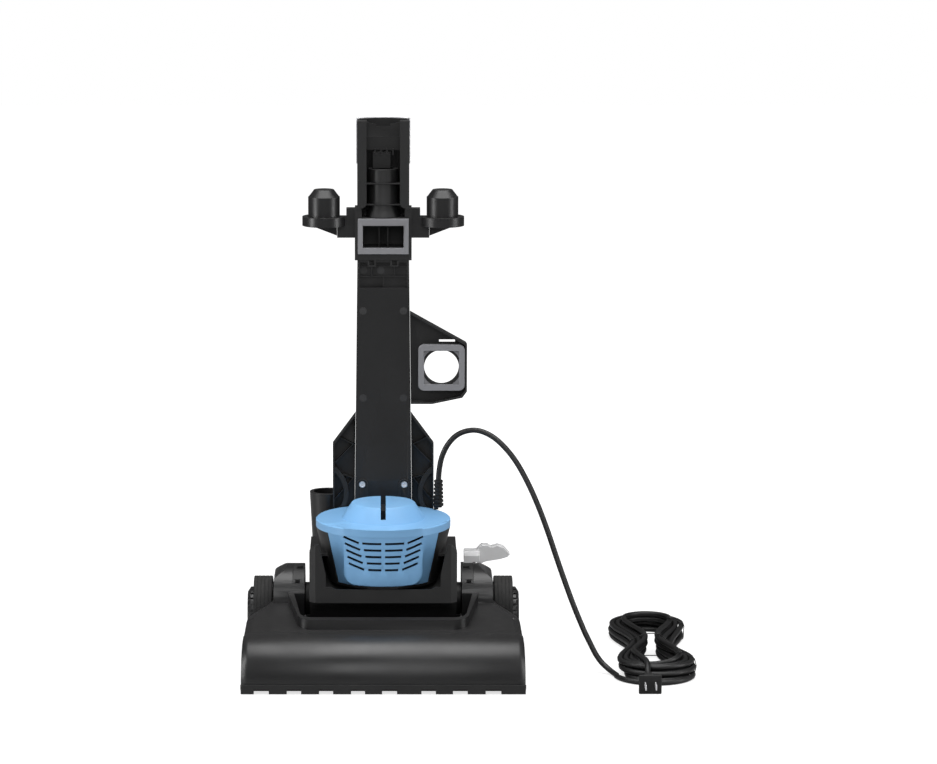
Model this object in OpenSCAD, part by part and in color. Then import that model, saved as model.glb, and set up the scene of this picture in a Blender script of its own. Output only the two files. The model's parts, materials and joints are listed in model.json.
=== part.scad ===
// Upright vacuum cleaner: floor head, motor unit and spine, with its tied power cord.
// X runs across the machine, Y from the front of the nose to the back, Z up from the floor.

/* [Foot] */
// Width of the foot at its front corners
foot_w = 350; // [340:1:360]
// Depth from the comb strip to the back of the rear wheels
foot_depth = 294; // [290:1:300]
// Radius of the rounded nose over the brush
nose_r = 52; // [51:0.5:54]
// Height of the centre of the nose's round
nose_z = 12; // [11:0.5:14]
// Slope of the deck behind the nose, in degrees
deck_slope = 10; // [8:0.5:12]
// Wall of the foot's mouldings
foot_wall = 3; // [2.4:0.1:3.4]
// Height of the collar round the well, above the deck
collar_h = 12.5; // [8:0.5:15]
// Width over the two pivot towers
tower_w = 276; // [272:1:282]
// Radius of a pivot tower's round top
tower_r = 45; // [43:0.5:46]
// Height of the underside of the foot's plates above the floor
plate_z = 4; // [3.6:0.1:4.4]
// Thickness of the foot's plates
plate_t = 3; // [2.4:0.1:3.2]

/* [Brush and drive] */
// Distance of the brush axis behind the comb strip
brush_back = 47; // [46:0.5:49]
// Height of the brush axis
brush_z = 29.5; // [29.4:0.1:30.5]
// Radius over the bristle tips
bristle_r = 29; // [27:0.25:29]
// Radius of the brush's bare core
core_r = 17; // [15.5:0.25:18]
// Radius of the belt groove on the brush
brush_pulley_r = 13; // [11:0.25:14]
// Radius of the motor's pulley
motor_pulley_r = 5.2; // [4.6:0.1:6]
// Thickness of the drive belt
belt_t = 2; // [1.5:0.1:2.5]
// Width of the drive belt
belt_w = 8; // [6:0.5:9]

/* [Wheels and pedal] */
// Radius of a rear wheel over its tyre
wheel_r = 47.5; // [46:0.5:50]
// Width of a rear tyre
tyre_w = 24; // [20:0.5:26]
// Radial thickness of a rear tyre
tyre_t = 6; // [4:0.5:8]
// Radius of a wheel axle
wheel_axle_r = 5; // [4:0.25:6]
// Radius of a front roller
roller_r = 8; // [7.5:0.25:9]
// Width of a front roller
roller_w = 14; // [12:0.5:16]
// Radius of the pedal's pin
pedal_pin_r = 3; // [2.5:0.1:3.5]

/* [Motor unit] */
// Distance of the pivot axis behind the middle of the part
pivot_y = 55; // [54:0.5:56]
// Height of the pivot axis
pivot_z = 76; // [75.5:0.25:78]
// Outer radius of the motor drum round the pivot axis
drum_r = 49; // [47:0.5:49.5]
// Outer radius of a hollow pivot trunnion
trunnion_r = 16; // [14:0.5:18]
// Gap between the motor yoke and a pivot tower
yoke_gap = 7; // [5:0.5:9]
// Height of the horns at the yoke's front corners
horn_z = 166; // [160:1:170]
// Height of the yoke's top behind the horns
yoke_top = 147; // [146:0.5:150]
// Radius of the filter cap's rim
cap_r = 84.5; // [82:0.5:86]
// Height of the underside of the cap's rim
cap_z = 177; // [175:0.5:184]
// Height of the cap's dome over its rim
dome_h = 19.5; // [16:0.5:24]
// Radius of the filter bucket at the foot of the vent panel
bucket_low_r = 68; // [65:0.5:72]
// Wall of the motor unit's mouldings
wall = 3; // [2.4:0.1:3.4]
// Wall of the filter cap
cap_wall = 2.5; // [2:0.1:3]
// Height of one vent slot
slot_h = 3; // [1.8:0.1:3.2]
// Pitch of the rows of vent slots
slot_pitch = 8.5; // [7.5:0.1:8.8]
// Radius of the motor's can
can_r = 40; // [36:0.5:41]
// Radius of the motor shaft
shaft_r = 4; // [3:0.25:4.2]

/* [Spine] */
// Half width of the spine at the cap's rim
spine_low = 36; // [34:0.5:38]
// Half width of the spine under the port
spine_high = 33; // [31:0.5:34.5]
// Height of the top of the machine
top_z = 680; // [660:1:700]
// Distance of the spine's front behind the middle of the part
spine_y = 90; // [88:0.5:92]
// Depth of the spine
spine_depth = 38; // [34:0.5:42]
// Thickness of the duct cover plate
cover_t = 2.5; // [2:0.1:3]
// Radius of the handle tube's bore
handle_bore_r = 14; // [12:0.5:15]
// Outer radius of the handle tube
handle_r = 19; // [17:0.5:20]
// Distance of a tool post from the middle
post_x = 74.6; // [72:0.2:78]
// Radius of a tool post at its foot
post_r = 20; // [17:0.25:21]
// Height of a tool post above its plate
post_h = 34; // [28:0.5:40]
// Radius of the hose port
port_r = 22; // [20:0.5:22.5]
// Outer radius of the hose pipe
pipe_r = 21; // [20:0.25:21.5]
// Radius of the hose pipe's bore
pipe_bore_r = 18; // [17:0.25:18.5]

/* [Cord] */
// Diameter of the power cord
cord_d = 7; // [6:0.1:8]

/* [Hidden] */
$fn = 64;

// Clearances: a turning fit, a loose fit, and the gap that soft or passing faces keep
run = 0.06;
loose = 0.3;
fit_gap = 0.1;

// Foot, from front to back
front_y = -foot_depth / 2;
comb_t = 2;
shell_front = front_y + comb_t;
nose_y = shell_front + nose_r;
deck_y0 = nose_y + 8;
deck_z0 = nose_z + nose_r - 1;
sill_z = plate_z + plate_t;
chamfer_w = 9;
chamfer_d = 5;
shoulder_x = foot_w / 2 - 4.5;
shoulder_y = -38;
waist_y = pivot_y - 13;
tower_in = tower_w / 2 - 39;
yoke_half = tower_in - yoke_gap;
tower_back = 112;
tower_front = pivot_y - tower_r;
bearing_w = 15;
wheel_y = foot_depth / 2 - wheel_r;
brush_y = front_y + brush_back;
well_front = brush_y + bristle_r + 5;
well_x0 = tower_in + 5;
well_x1 = tower_in + 13;
collar_front = well_front - 9;
web_top = 42;
pipe_x = 28 - tower_in;
duct = [[pipe_x - 17, pipe_x + 39], [well_front, spine_y + 55]];
duct_top = 25;
spigot_r = 17;
spigot_top = 33;
belt_x = tower_w / 2 - 17;

// Motor unit
yoke_front = -45;
yoke_back = 100;
horn_back = -8;
apron_z = 92;
cap_y = 25;
bucket_low_z = 109;
rim_t = 10;
bay_lip = 0.9;
dome_low_r = 52;
dome_top_r = 39;
panel_a = 55;
bay_a = 40;
bay_r = 76.5;
latch_slot = 6.4;
can_x = yoke_half - 50;

// Spine, from bottom to top
spine_back = spine_y + spine_depth;
spine_z0 = 160;
block_z0 = top_z - 176;
recess_z = block_z0 - 35;
channel_z = top_z - 111;
block_w = 35.8;
channel_w = 32.7;
channel_in = 21;
port = [25.7, top_z - 160, top_z - 132];
gasket = [32, top_z - 168, top_z - 123];
arm_z = [top_z - 148, top_z - 111.5];
arm_x = [46.5, 58];
post_plate = [top_z - 133, top_z - 121.5];
plate_r = 27.4;
tube_top = top_z - 61.3;
seat_x = 73.6;
seat_z = 368.5;
seat_w = 58.6;
seat_y = 78;
pipe_y = spine_y + 36;
pipe_top = 201;
pipe_low = 140;
wing_x = 64;
wing_depth = 16;
relief = [70, 75, 190, 225];

// The lead's centre line from the strain relief to the hank, lying on the floor at its end
lead = [[70, 75, 225.3], [71, 75, 238], [74, 74, 254], [81, 72, 270], [92, 69, 283], [106, 65, 290],
    [121, 60, 291], [137, 54, 285], [152, 48, 273], [167, 41, 255], [181, 33, 231], [194, 25, 203],
    [206, 17, 172], [217, 9, 140], [228, 0, 109], [239, -9, 80], [250, -17, 54], [261, -25, 32],
    [271, -32, 16], [280, -38, 7], [286, -44, 3.8], [288.7, -52.5, 3.5]];
hank_x = 341;
hank_y = 60;
hank_len = 322;
hank_w = 97;
hank_waist = 56;
hank_h = 22;
plug_y = hank_y - hank_len / 2 + 0.3;

function deck_z(y) = deck_z0 + (y - deck_y0) * tan(deck_slope);
function arc(cx, cy, r, a0, a1, n) =
    [for (i = [0:n]) let (a = a0 + (a1 - a0) * i / n) [cx + r * cos(a), cy + r * sin(a)]];
function flipped(points) = [for (i = [len(points) - 1:-1:0]) [-points[i][0], points[i][1]]];
function bucket_r(z) = bucket_low_r + (cap_r - bucket_low_r) * (z - bucket_low_z) / (cap_z - bucket_low_z);
function spine_half(z) = spine_low + (spine_high - spine_low) * (z - 196) / (recess_z - 196);

module along_x(x0, x1) { translate([x0, 0, 0]) rotate([90, 0, 90]) linear_extrude(x1 - x0) children(); }
module along_y(y0, y1) { translate([0, y1, 0]) rotate([90, 0, 0]) linear_extrude(y1 - y0) children(); }
module up(z0, z1) { translate([0, 0, z0]) linear_extrude(z1 - z0) children(); }
module box(x, y, z) { translate([x[0], y[0], z[0]]) cube([x[1] - x[0], y[1] - y[0], z[1] - z[0]]); }
module rod_x(r, x, y, z) { translate([x[0], y, z]) rotate([0, 90, 0]) cylinder(r = r, h = x[1] - x[0]); }
module ring_x(r_out, r_in, x, y, z) {
    difference() { rod_x(r_out, x, y, z); rod_x(r_in, [x[0] - 1, x[1] + 1], y, z); }
}
module both() { children(); mirror([1, 0, 0]) children(); }
module round_rect(w, h, r) {
    square([w - 2 * r, h], center = true);
    square([w, h - 2 * r], center = true);
    for (x = [-1, 1], y = [-1, 1]) translate([x * (w / 2 - r), y * (h / 2 - r)]) circle(r);
}
// Outline of two round ends joined by their common tangents, in the YZ plane
module belt_2d(y0, z0, r0, y1, z1, r1) {
    d = norm([y1 - y0, z1 - z0]);
    turn = atan2(z1 - z0, y1 - y0);
    a = acos((r0 - r1) / d);
    polygon(concat(arc(y0, z0, r0, turn + a, turn + 360 - a, 24), arc(y1, z1, r1, turn - a, turn + a, 16)));
}

// ---- Foot ----

// Half of the foot's outline from above, moved in by g: wide nose, then an S to the tower
function foot_side(g) = concat([[foot_w / 2 - g, front_y - 5]],
    [for (i = [0:10]) let (t = i / 10)
        [tower_w / 2 - g + (shoulder_x - tower_w / 2) * (1 + cos(180 * t)) / 2,
         shoulder_y - g / 2 + t * (waist_y - shoulder_y)]],
    [[tower_w / 2 - g, tower_back - g]]);
module foot_plan(g) { polygon(concat(foot_side(g), flipped(foot_side(g)))); }

// Half of the well's outline from above, moved out by g
function well_side(g) = concat(arc(well_x0 - 16, well_front + 16, 16 + g, -90, 0, 6),
    [[well_x1 + g, tower_front], [tower_in + g, tower_front], [tower_in + g, 160]]);
module well_plan(g) { polygon(concat(well_side(g), flipped(well_side(g)))); }

module nose(g) {
    half = foot_w / 2 - chamfer_w - g;
    rod_x(nose_r - g, [-half, half], nose_y, nose_z);
    both() translate([half, nose_y, nose_z]) rotate([0, 90, 0])
        cylinder(r1 = nose_r - g, r2 = nose_r - g - chamfer_d, h = chamfer_w);
}

// Cutter that bevels the deck's edge from p to q: the bevel follows the slope of the deck
module bevel(p, q, g) {
    rise = tan(deck_slope);
    u = unit([q[0] - p[0], q[1] - p[1], (q[1] - p[1]) * rise]);
    side = [q[1] - p[1], p[0] - q[0]] / norm(q - p);
    inward = [-side[0] * chamfer_w, -side[1] * chamfer_w, chamfer_d - side[1] * chamfer_w * rise];
    v = unit(inward - (inward * u) * u);
    w = cross(u, v);
    z = deck_z(p[1]) - g - chamfer_d;
    multmatrix([[u[0], v[0], -w[0], p[0]], [u[1], v[1], -w[1], p[1]], [u[2], v[2], -w[2], z], [0, 0, 0, 1]])
        mirror([0, 0, 1]) translate([-1.2, -6, 0]) cube([norm(q - p) + 2.4, norm(inward) + 8, 12]);
}

module deck(g) {
    side = foot_side(g);
    difference() {
        intersection() {
            along_x(-foot_w / 2, foot_w / 2) polygon([
                [nose_y, 0], [nose_y, deck_z0 - g], [deck_y0, deck_z0 - g],
                [waist_y, deck_z(waist_y) - g], [waist_y, 0]]);
            up(-1, 200) foot_plan(g);
        }
        both() for (i = [0:len(side) - 3]) bevel(side[i], side[i + 1], g);
    }
}

module tower_2d(g) {
    translate([pivot_y, pivot_z]) circle(tower_r - g);
    polygon([[tower_front + g, 0], [tower_front + g, pivot_z], [pivot_y + tower_r - g, pivot_z],
        [tower_back - g, pivot_z - 20], [tower_back - g, 0]]);
}

// Front view of a tower with its big bevel, out to x
module tower_edge_2d(x) {
    crest = pivot_z + tower_r;
    polygon([[0, 0], [0, crest + 39], [x - 67.8, crest + 39],
        [x - 1.5, crest - 12.4], [x, crest - 16], [x, 0]]);
}

module foot_block(g) {
    intersection() {
        union() {
            nose(g);
            deck(g);
            both() intersection() {
                along_x(tower_in + g, tower_w / 2 - g) tower_2d(g);
                along_y(0, 200) tower_edge_2d(tower_w / 2 - g);
            }
        }
        up(g > 0 ? -1 : sill_z, 200) foot_plan(g);
    }
}

module bearing_block() {
    along_x(tower_in, tower_in + bearing_w) intersection() {
        tower_2d(0);
        translate([0, sill_z]) square([200, 200]);
    }
}

module cap_slot_2d(g) {
    intersection() {
        tower_2d(0);
        union() {
            translate([pivot_y - 20 - g, pivot_z]) square([40 + 2 * g, 60]);
            translate([pivot_y - 36 - g, pivot_z + 27.4 - g]) square([72 + 2 * g, 33]);
        }
    }
}

module collar() {
    side = concat(arc(tower_in - 12, collar_front + 20, 20, -90, 0, 6),
        [[tower_in + 25, pivot_y - 20], [tower_in + 1, pivot_y - 20]]);
    intersection() {
        up(0, 200) polygon(concat(side, flipped(side)));
        along_x(-150, 150) polygon([[collar_front - 5, deck_z0 - 2], [pivot_y, deck_z(pivot_y) - 2],
            [pivot_y, deck_z(pivot_y) + collar_h], [collar_front - 5, deck_z(collar_front - 5) + collar_h]]);
    }
}

boss_at = [[foot_w / 2 - 16, brush_y - 26], [foot_w / 2 - 16, brush_y + 22]];
brush_end = foot_w / 2 - 26;

module foot_shell() color([0.09, 0.09, 0.1]) {
    difference() {
        union() {
            difference() {
                foot_block(0);
                foot_block(foot_wall);
            }
            intersection() {
                up(sill_z, 200) well_plan(foot_wall);
                foot_block(0);
            }
            collar();
            both() bearing_block();
            both() ring_x(wheel_axle_r + 5, wheel_axle_r, [tower_w / 2 - 16, tower_w / 2], wheel_y, wheel_r);
            intersection() {
                both() for (b = boss_at) translate([b[0], b[1], sill_z]) cylinder(r = 5, h = 80);
                foot_block(1);
            }
            pedal_lugs();
        }
        up(-1, 200) well_plan(0);
        both() along_x(tower_in - 1, tower_in + bearing_w + 0.2) cap_slot_2d(0.2);
        both() rod_x(trunnion_r + run, [tower_in - 1, tower_in + bearing_w + 1], pivot_y, pivot_z);
        both() rod_x(wheel_axle_r, [tower_w / 2 - 20, tower_w / 2 + 1], wheel_y, wheel_r);
        both() for (b = boss_at) translate([b[0], b[1], 0]) cylinder(r = 1.8, h = 20);
        box([duct[0][0] + 2, duct[0][1] - 2], [well_front - 10, well_front + 1], [sill_z + 2, duct_top - 2]);
        rod_x(pedal_pin_r, [pedal_x[0] - 8, pedal_x[1] + 8], pedal_pin_y, pedal_pin_z);
    }
    both() box([yoke_half + 1, tower_in + 1], [tower_back - foot_wall, tower_back], [sill_z, web_top]);
}

module base_frame() color([0.12, 0.12, 0.13]) {
    difference() {
        union() {
            intersection() {
                up(plate_z, sill_z) foot_plan(0);
                box([-200, 200], [well_front - 4, 200], [0, 20]);
            }
            both() for (x = [roller_x - 3.3, roller_x + roller_w + 0.3])
                box([x, x + 3], [roller_y - 6, roller_y + 6], [plate_z, roller_r + 5]);
        }
        both() box([roller_x - 0.3, roller_x + roller_w + 0.3],
            [roller_y - roller_r - 1, roller_y + roller_r + 1], [-1, 20]);
        both() rod_x(2, [roller_x - 10, roller_x + roller_w + 10], roller_y, roller_r);
    }
}
roller_x = foot_w / 2 - 59;
roller_y = well_front + 16;

module sole_plate() color([0.12, 0.12, 0.13]) {
    difference() {
        intersection() {
            up(plate_z, sill_z) foot_plan(0);
            box([-200, 200], [shell_front, well_front - 4.2], [0, 20]);
        }
        box([-brush_end - 1, brush_end + 1], [brush_y - 22, brush_y + 22], [-1, 20]);
        both() for (b = boss_at) translate([b[0], b[1], 0]) cylinder(r = 2, h = 20);
    }
}

comb_low = 6.5;
// Middle of each comb tooth, as a share of the foot's width, and the tooth's width
comb_teeth = [[-0.476, 16], [-0.369, 22], [-0.256, 22], [-0.144, 22], [-0.034, 21], [0.091, 30],
    [0.214, 21], [0.327, 22], [0.456, 30]];

module front_comb() color([0.14, 0.14, 0.15]) {
    box([-foot_w / 2, foot_w / 2], [front_y, shell_front], [comb_low, nose_z]);
    for (t = comb_teeth) let (x = [t[0] * foot_w - t[1] / 2, t[0] * foot_w + t[1] / 2]) {
        box(x, [front_y, shell_front], [0.5, comb_low]);
        box(x, [front_y, front_y + 7], [0.5, plate_z]);
    }
}

module pivot_caps() color([0.13, 0.13, 0.14]) {
    both() difference() {
        along_x(tower_in, tower_in + bearing_w) cap_slot_2d(0);
        rod_x(trunnion_r + run, [tower_in - 1, tower_in + bearing_w + 1], pivot_y, pivot_z);
        box([tower_in + 6, tower_in + 11.7], [pivot_y - 40, pivot_y - 32], [pivot_z + 27, pivot_z + 31]);
        box([tower_in + 2, tower_in + 9.6], [pivot_y - 17, pivot_y - 9], [pivot_z + tower_r - 4.5, 200]);
    }
}

module suction_duct() color([0.15, 0.15, 0.16]) {
    difference() {
        union() {
            box(duct[0], [duct[1][0], tower_back], [sill_z, duct_top]);
            box([pipe_x - 21, pipe_x + 19], [tower_back - 1, pipe_y + 19], [sill_z, duct_top]);
            translate([pipe_x, pipe_y, sill_z]) cylinder(r = spigot_r, h = spigot_top - sill_z);
        }
        box([duct[0][0] + 2, duct[0][1] - 2], [duct[1][0] - 1, tower_back - 2], [sill_z + 2, duct_top - 2]);
        box([pipe_x - 19, pipe_x + 17], [tower_back - 3, pipe_y + 17], [sill_z + 2, duct_top - 2]);
        translate([pipe_x, pipe_y, sill_z + 4]) cylinder(r = spigot_r - 2, h = 60);
    }
}

module lower_hose() color([0.75, 0.76, 0.78]) {
    translate([pipe_x, pipe_y, duct_top]) difference() {
        cylinder(r = spigot_r + 1.6, h = pipe_low - duct_top);
        translate([0, 0, -1]) cylinder(r = spigot_r, h = 200);
    }
}

// ---- Brush and drive ----

module drive_belt() color([0.06, 0.06, 0.06]) {
    gap = loose;
    along_x(belt_x, belt_x + belt_w) difference() {
        belt_2d(brush_y, brush_z, brush_pulley_r + gap + belt_t,
            pivot_y, pivot_z, motor_pulley_r + gap + belt_t);
        belt_2d(brush_y, brush_z, brush_pulley_r + gap, pivot_y, pivot_z, motor_pulley_r + gap);
    }
}

module brush_bearings() color([0.2, 0.2, 0.21]) {
    both() difference() {
        box([brush_end + 3, brush_end + 17], [brush_y - 13, brush_y + 13], [sill_z, brush_z + 13]);
        rod_x(3, [brush_end - 5, brush_end + 30], brush_y, brush_z);
    }
}

module brush_axle() color([0.75, 0.75, 0.77]) rod_x(3, [-brush_end - 14, brush_end + 14], brush_y, brush_z);

bristle_t = 4;
bristle_steps = 7;
bristle_x = brush_end - 9;
// Two rows of bristles, each wound a third of a turn in short straight steps
module bristle_rows(r0) {
    step = (belt_x - 3 + bristle_x) / bristle_steps;
    for (row = [0, 180], k = [0:bristle_steps - 1])
        translate([-bristle_x + k * step, brush_y, brush_z]) rotate([row + 20 + k * 17, 0, 0])
            translate([0, -bristle_t / 2, r0]) cube([step - 2, bristle_t, bristle_r - r0]);
}

module brush_core() color([0.25, 0.25, 0.27]) {
    difference() {
        union() {
            rod_x(core_r, [-brush_end, belt_x - 2], brush_y, brush_z);
            rod_x(brush_pulley_r, [belt_x - 2, belt_x + belt_w + 2], brush_y, brush_z);
            rod_x(core_r, [belt_x + belt_w + 2, brush_end], brush_y, brush_z);
        }
        rod_x(3 + run, [-brush_end - 1, brush_end + 1], brush_y, brush_z);
        bristle_rows(core_r - 5);
    }
}

module bristles() color([0.1, 0.1, 0.1]) {
    intersection() {
        bristle_rows(core_r - 5);
        rod_x(bristle_r, [-brush_end, brush_end], brush_y, brush_z);
    }
}

// ---- Wheels, rollers and pedal ----

tyre_x = tower_w / 2 + 3;
module wheel_axles() color([0.75, 0.75, 0.77])
    both() rod_x(wheel_axle_r, [tower_w / 2 - 16, tyre_x + tyre_w + 2], wheel_y, wheel_r);

module wheel() {
    rim_r = wheel_r - tyre_t;
    difference() {
        union() {
            ring_x(rim_r, rim_r - 4, [tyre_x + 1, tyre_x + tyre_w - 1], wheel_y, wheel_r);
            rod_x(rim_r - 3, [tyre_x + tyre_w - 7, tyre_x + tyre_w - 4], wheel_y, wheel_r);
            rod_x(wheel_axle_r + 6, [tyre_x, tyre_x + tyre_w + 4], wheel_y, wheel_r);
            rod_x(rim_r - 8, [tyre_x + tyre_w - 4, tyre_x + tyre_w + 4], wheel_y, wheel_r);
            translate([tyre_x + tyre_w + 4, wheel_y, wheel_r]) rotate([0, 90, 0])
                cylinder(r1 = rim_r - 8, r2 = rim_r - 14, h = 4);
        }
        rod_x(wheel_axle_r + run, [tyre_x - 1, tyre_x + tyre_w + 2.3], wheel_y, wheel_r);
        for (a = [0:15:345]) translate([tyre_x + tyre_w - 3, wheel_y, wheel_r]) rotate([a, 0, 0])
            translate([0, -1.2, rim_r - 10.5]) cube([20, 2.4, 8]);
    }
}
module tyre() {
    ring_x(wheel_r - 1, wheel_r - tyre_t, [tyre_x, tyre_x + tyre_w], wheel_y, wheel_r);
    ring_x(wheel_r, wheel_r - 1, [tyre_x + 1.5, tyre_x + tyre_w - 1.5], wheel_y, wheel_r);
}
module wheel_right() color([0.12, 0.12, 0.13]) wheel();
module wheel_left() color([0.12, 0.12, 0.13]) mirror([1, 0, 0]) wheel();
module tyre_right() color([0.05, 0.05, 0.05]) tyre();
module tyre_left() color([0.05, 0.05, 0.05]) mirror([1, 0, 0]) tyre();

module roller_axles() color([0.75, 0.75, 0.77])
    both() rod_x(2, [roller_x - 3.3, roller_x + roller_w + 3.3], roller_y, roller_r);
module roller() { ring_x(roller_r, 2 + run, [roller_x, roller_x + roller_w], roller_y, roller_r); }
module front_roller_right() color([0.1, 0.1, 0.1]) roller();
module front_roller_left() color([0.1, 0.1, 0.1]) mirror([1, 0, 0]) roller();

pedal_x = [tower_in + 4, tower_in + 24];
pedal_pin_y = pivot_y + tower_r + 3;
pedal_pin_z = pivot_z + 30;
hub_x1 = pedal_x[0] + 11;
lug_t = 3.7;
hub_r = 7;
module pedal_lugs() {
    for (x = [pedal_x[0] - lug_t - loose, hub_x1 + loose])
        along_x(x, x + lug_t) difference() {
            union() {
                translate([pedal_pin_y, pedal_pin_z]) circle(hub_r);
                polygon([[pedal_pin_y - 20, pivot_z], [pedal_pin_y - 12, pedal_pin_z],
                    [pedal_pin_y + hub_r, pedal_pin_z], [pedal_pin_y + hub_r, pivot_z - 22],
                    [pedal_pin_y - 20, pivot_z - 22]]);
            }
            translate([pivot_y, pivot_z]) circle(tower_r - 1);
        }
    translate([(pedal_x[0] + hub_x1) / 2, pedal_pin_y + 2, pivot_z - 16]) cylinder(r = 5.2, h = 15);
}

module release_pedal() color([0.82, 0.82, 0.82]) {
    y1 = pedal_pin_y + 20;
    z0 = pedal_pin_z + 18;
    x1 = pedal_x[1];
    low = pedal_pin_z + hub_r + 0.5;
    difference() {
        union() {
            rod_x(hub_r, [pedal_x[0], hub_x1], pedal_pin_y, pedal_pin_z);
            box([pedal_x[0], hub_x1], [pedal_pin_y - 5, pedal_pin_y + 5], [pedal_pin_z, low + 1]);
            along_x(pedal_x[0], x1) polygon([[pedal_pin_y - 5, low], [pedal_pin_y - 5, z0 - 2],
                [pedal_pin_y - 2, z0 + 3], [y1, z0 + 3], [y1, low]]);
            along_y(pedal_pin_y + 2, y1) polygon([[x1 - 4, low], [x1 - 4, z0 + 3], [x1 + 3, z0 + 10],
                [x1 + 10, z0 + 10], [x1 + 15, z0 + 7], [x1 + 23, z0 + 9.5], [x1 + 31, z0 + 7],
                [x1 + 39, z0 - 2], [x1 + 36, z0 - 5], [x1 + 26, z0 - 8], [x1 + 8, z0 - 11], [x1 + 2, low - 3],
                [x1 - 3, low - 3]]);
        }
        rod_x(pedal_pin_r + run, [0, 200], pedal_pin_y, pedal_pin_z);
    }
}

module pedal_pin() color([0.75, 0.75, 0.77])
    rod_x(pedal_pin_r, [pedal_x[0] - lug_t - loose, hub_x1 + loose + lug_t], pedal_pin_y, pedal_pin_z);

module pedal_spring() color([0.7, 0.7, 0.72]) {
    z0 = pivot_z - 1;
    translate([(pedal_x[0] + hub_x1) / 2, pedal_pin_y + 2, z0]) difference() {
        cylinder(r = 4, h = pedal_pin_z - hub_r - loose - z0);
        translate([0, 0, -1]) cylinder(r = 3, h = 60);
    }
}

module sole_screws() color([0.75, 0.75, 0.77])
    both() for (b = boss_at) translate([b[0], b[1], plate_z - 1.4]) {
        cylinder(r = 3.5, h = 1.4);
        cylinder(r = 1.8, h = 14);
    }

// ---- Motor unit ----

function yoke_side(g) = [[yoke_half - 7.5 - g * 0.4, yoke_front + g],
    [yoke_half - g, yoke_front + 9 + g * 0.4], [yoke_half - g, yoke_back - g]];
module yoke_plan(g) { polygon(concat(yoke_side(g), flipped(yoke_side(g)))); }
module drum(r, half) { rod_x(r, [-half, half], pivot_y, pivot_z); }

module bucket(g, z0, z1) {
    translate([0, cap_y, 0]) rotate_extrude()
        polygon([[0, z0], [bucket_r(z0) - g, z0], [bucket_r(z1) - g, z1], [0, z1]]);
    intersection() {
        translate([0, cap_y, max(z0, 118)]) cylinder(r = cap_r - g, h = z1 - max(z0, 118));
        box([-200, 200], [cap_y + 45 + g, 200], [0, 400]);
    }
}

// Outline of the U-shaped opening in the yoke's front, seen from the front
module yoke_u() {
    low = bucket_low_z;
    half = concat([[yoke_half - 11, horn_z + 5]], arc(yoke_half - 36, low + 14, 14, -10, -90, 6));
    polygon(concat(half, flipped(half)));
}

module vent_sector(a, y0) {
    translate([0, cap_y, 0]) rotate([0, 0, -90 - a]) rotate_extrude(angle = 2 * a) children();
}

module motor_housing() color([0.1, 0.1, 0.11]) {
    difference() {
        union() {
            intersection() {
                up(apron_z, horn_z) yoke_plan(0);
                along_y(-200, 200) polygon([[-yoke_half, 0], [yoke_half, 0], [yoke_half, horn_z - 12],
                    [yoke_half - 7.2, horn_z], [7.2 - yoke_half, horn_z], [-yoke_half, horn_z - 12]]);
                along_x(-yoke_half, yoke_half) polygon([[yoke_front - 1, 0], [yoke_front - 1, horn_z],
                    [yoke_front + 11, horn_z], [horn_back, yoke_top], [yoke_back, yoke_top], [yoke_back, 0]]);
            }
            bucket(0, bucket_low_z, cap_z);
            drum(drum_r, yoke_half);
        }
        difference() {
            intersection() {
                up(apron_z + wall, horn_z + 1) yoke_plan(wall);
                along_x(-yoke_half, yoke_half) polygon([[yoke_front, 0], [yoke_front, horn_z + 1],
                    [horn_back, horn_z + 1], [horn_back, yoke_top - wall], [yoke_back, yoke_top - wall],
                    [yoke_back, 0]]);
            }
            bucket(0, bucket_low_z, cap_z);
            drum(drum_r, yoke_half + 1);
        }
        difference() {
            bucket(wall, bucket_low_z + wall, cap_z + 1);
            drum(drum_r, yoke_half + 1);
        }
        drum(drum_r - wall, yoke_half + 1);
        along_y(yoke_front - 1, yoke_front + wall + 0.5) yoke_u();
        vent_sector(panel_a + 0.4, 0)
            polygon([[40, bucket_low_z + wall], [100, bucket_low_z + wall],
                [100, cap_z + 1], [40, cap_z + 1]]);
    }
}

module trunnion() {
    difference() {
        union() {
            rod_x(drum_r - wall, [yoke_half - 5, yoke_half], pivot_y, pivot_z);
            rod_x(trunnion_r, [yoke_half - 1, tower_in + bearing_w - 2], pivot_y, pivot_z);
            rod_x(trunnion_r + 4.9, [yoke_half - 1, tower_in - loose], pivot_y, pivot_z);
        }
        rod_x(trunnion_r - 6, [yoke_half - 10, tower_in + bearing_w], pivot_y, pivot_z);
    }
}
module trunnion_right() color([0.13, 0.13, 0.14]) trunnion();
module trunnion_left() color([0.13, 0.13, 0.14]) mirror([1, 0, 0]) trunnion();

module motor_can() color([0.6, 0.6, 0.62]) {
    difference() {
        rod_x(can_r, [-can_x, can_x], pivot_y, pivot_z);
        rod_x(can_r - 3, [-can_x + 3, can_x - 3], pivot_y, pivot_z);
        rod_x(shaft_r + run, [-can_x - 1, can_x + 1], pivot_y, pivot_z);
        for (a = [0, 180], s = [-1, 1]) translate([0, pivot_y, pivot_z]) rotate([a + 45 * s, 0, 0])
            translate([-can_x - 1, -6, 12]) cube([2 * can_x + 2, 12, 16]);
    }
}
stack_x = can_x - 20;
module field_stack() color([0.5, 0.5, 0.52]) ring_x(can_r - 3, 28, [-stack_x, stack_x], pivot_y, pivot_z);
module motor_shaft() color([0.75, 0.75, 0.77]) {
    rod_x(shaft_r, [-can_x - 34, belt_x - 2], pivot_y, pivot_z);
    rod_x(motor_pulley_r + 2.5, [belt_x - 2, belt_x - loose], pivot_y, pivot_z);
    rod_x(motor_pulley_r, [belt_x - loose, belt_x + belt_w + loose], pivot_y, pivot_z);
    rod_x(motor_pulley_r + 2.5, [belt_x + belt_w + loose, belt_x + belt_w + 2], pivot_y, pivot_z);
}
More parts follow.
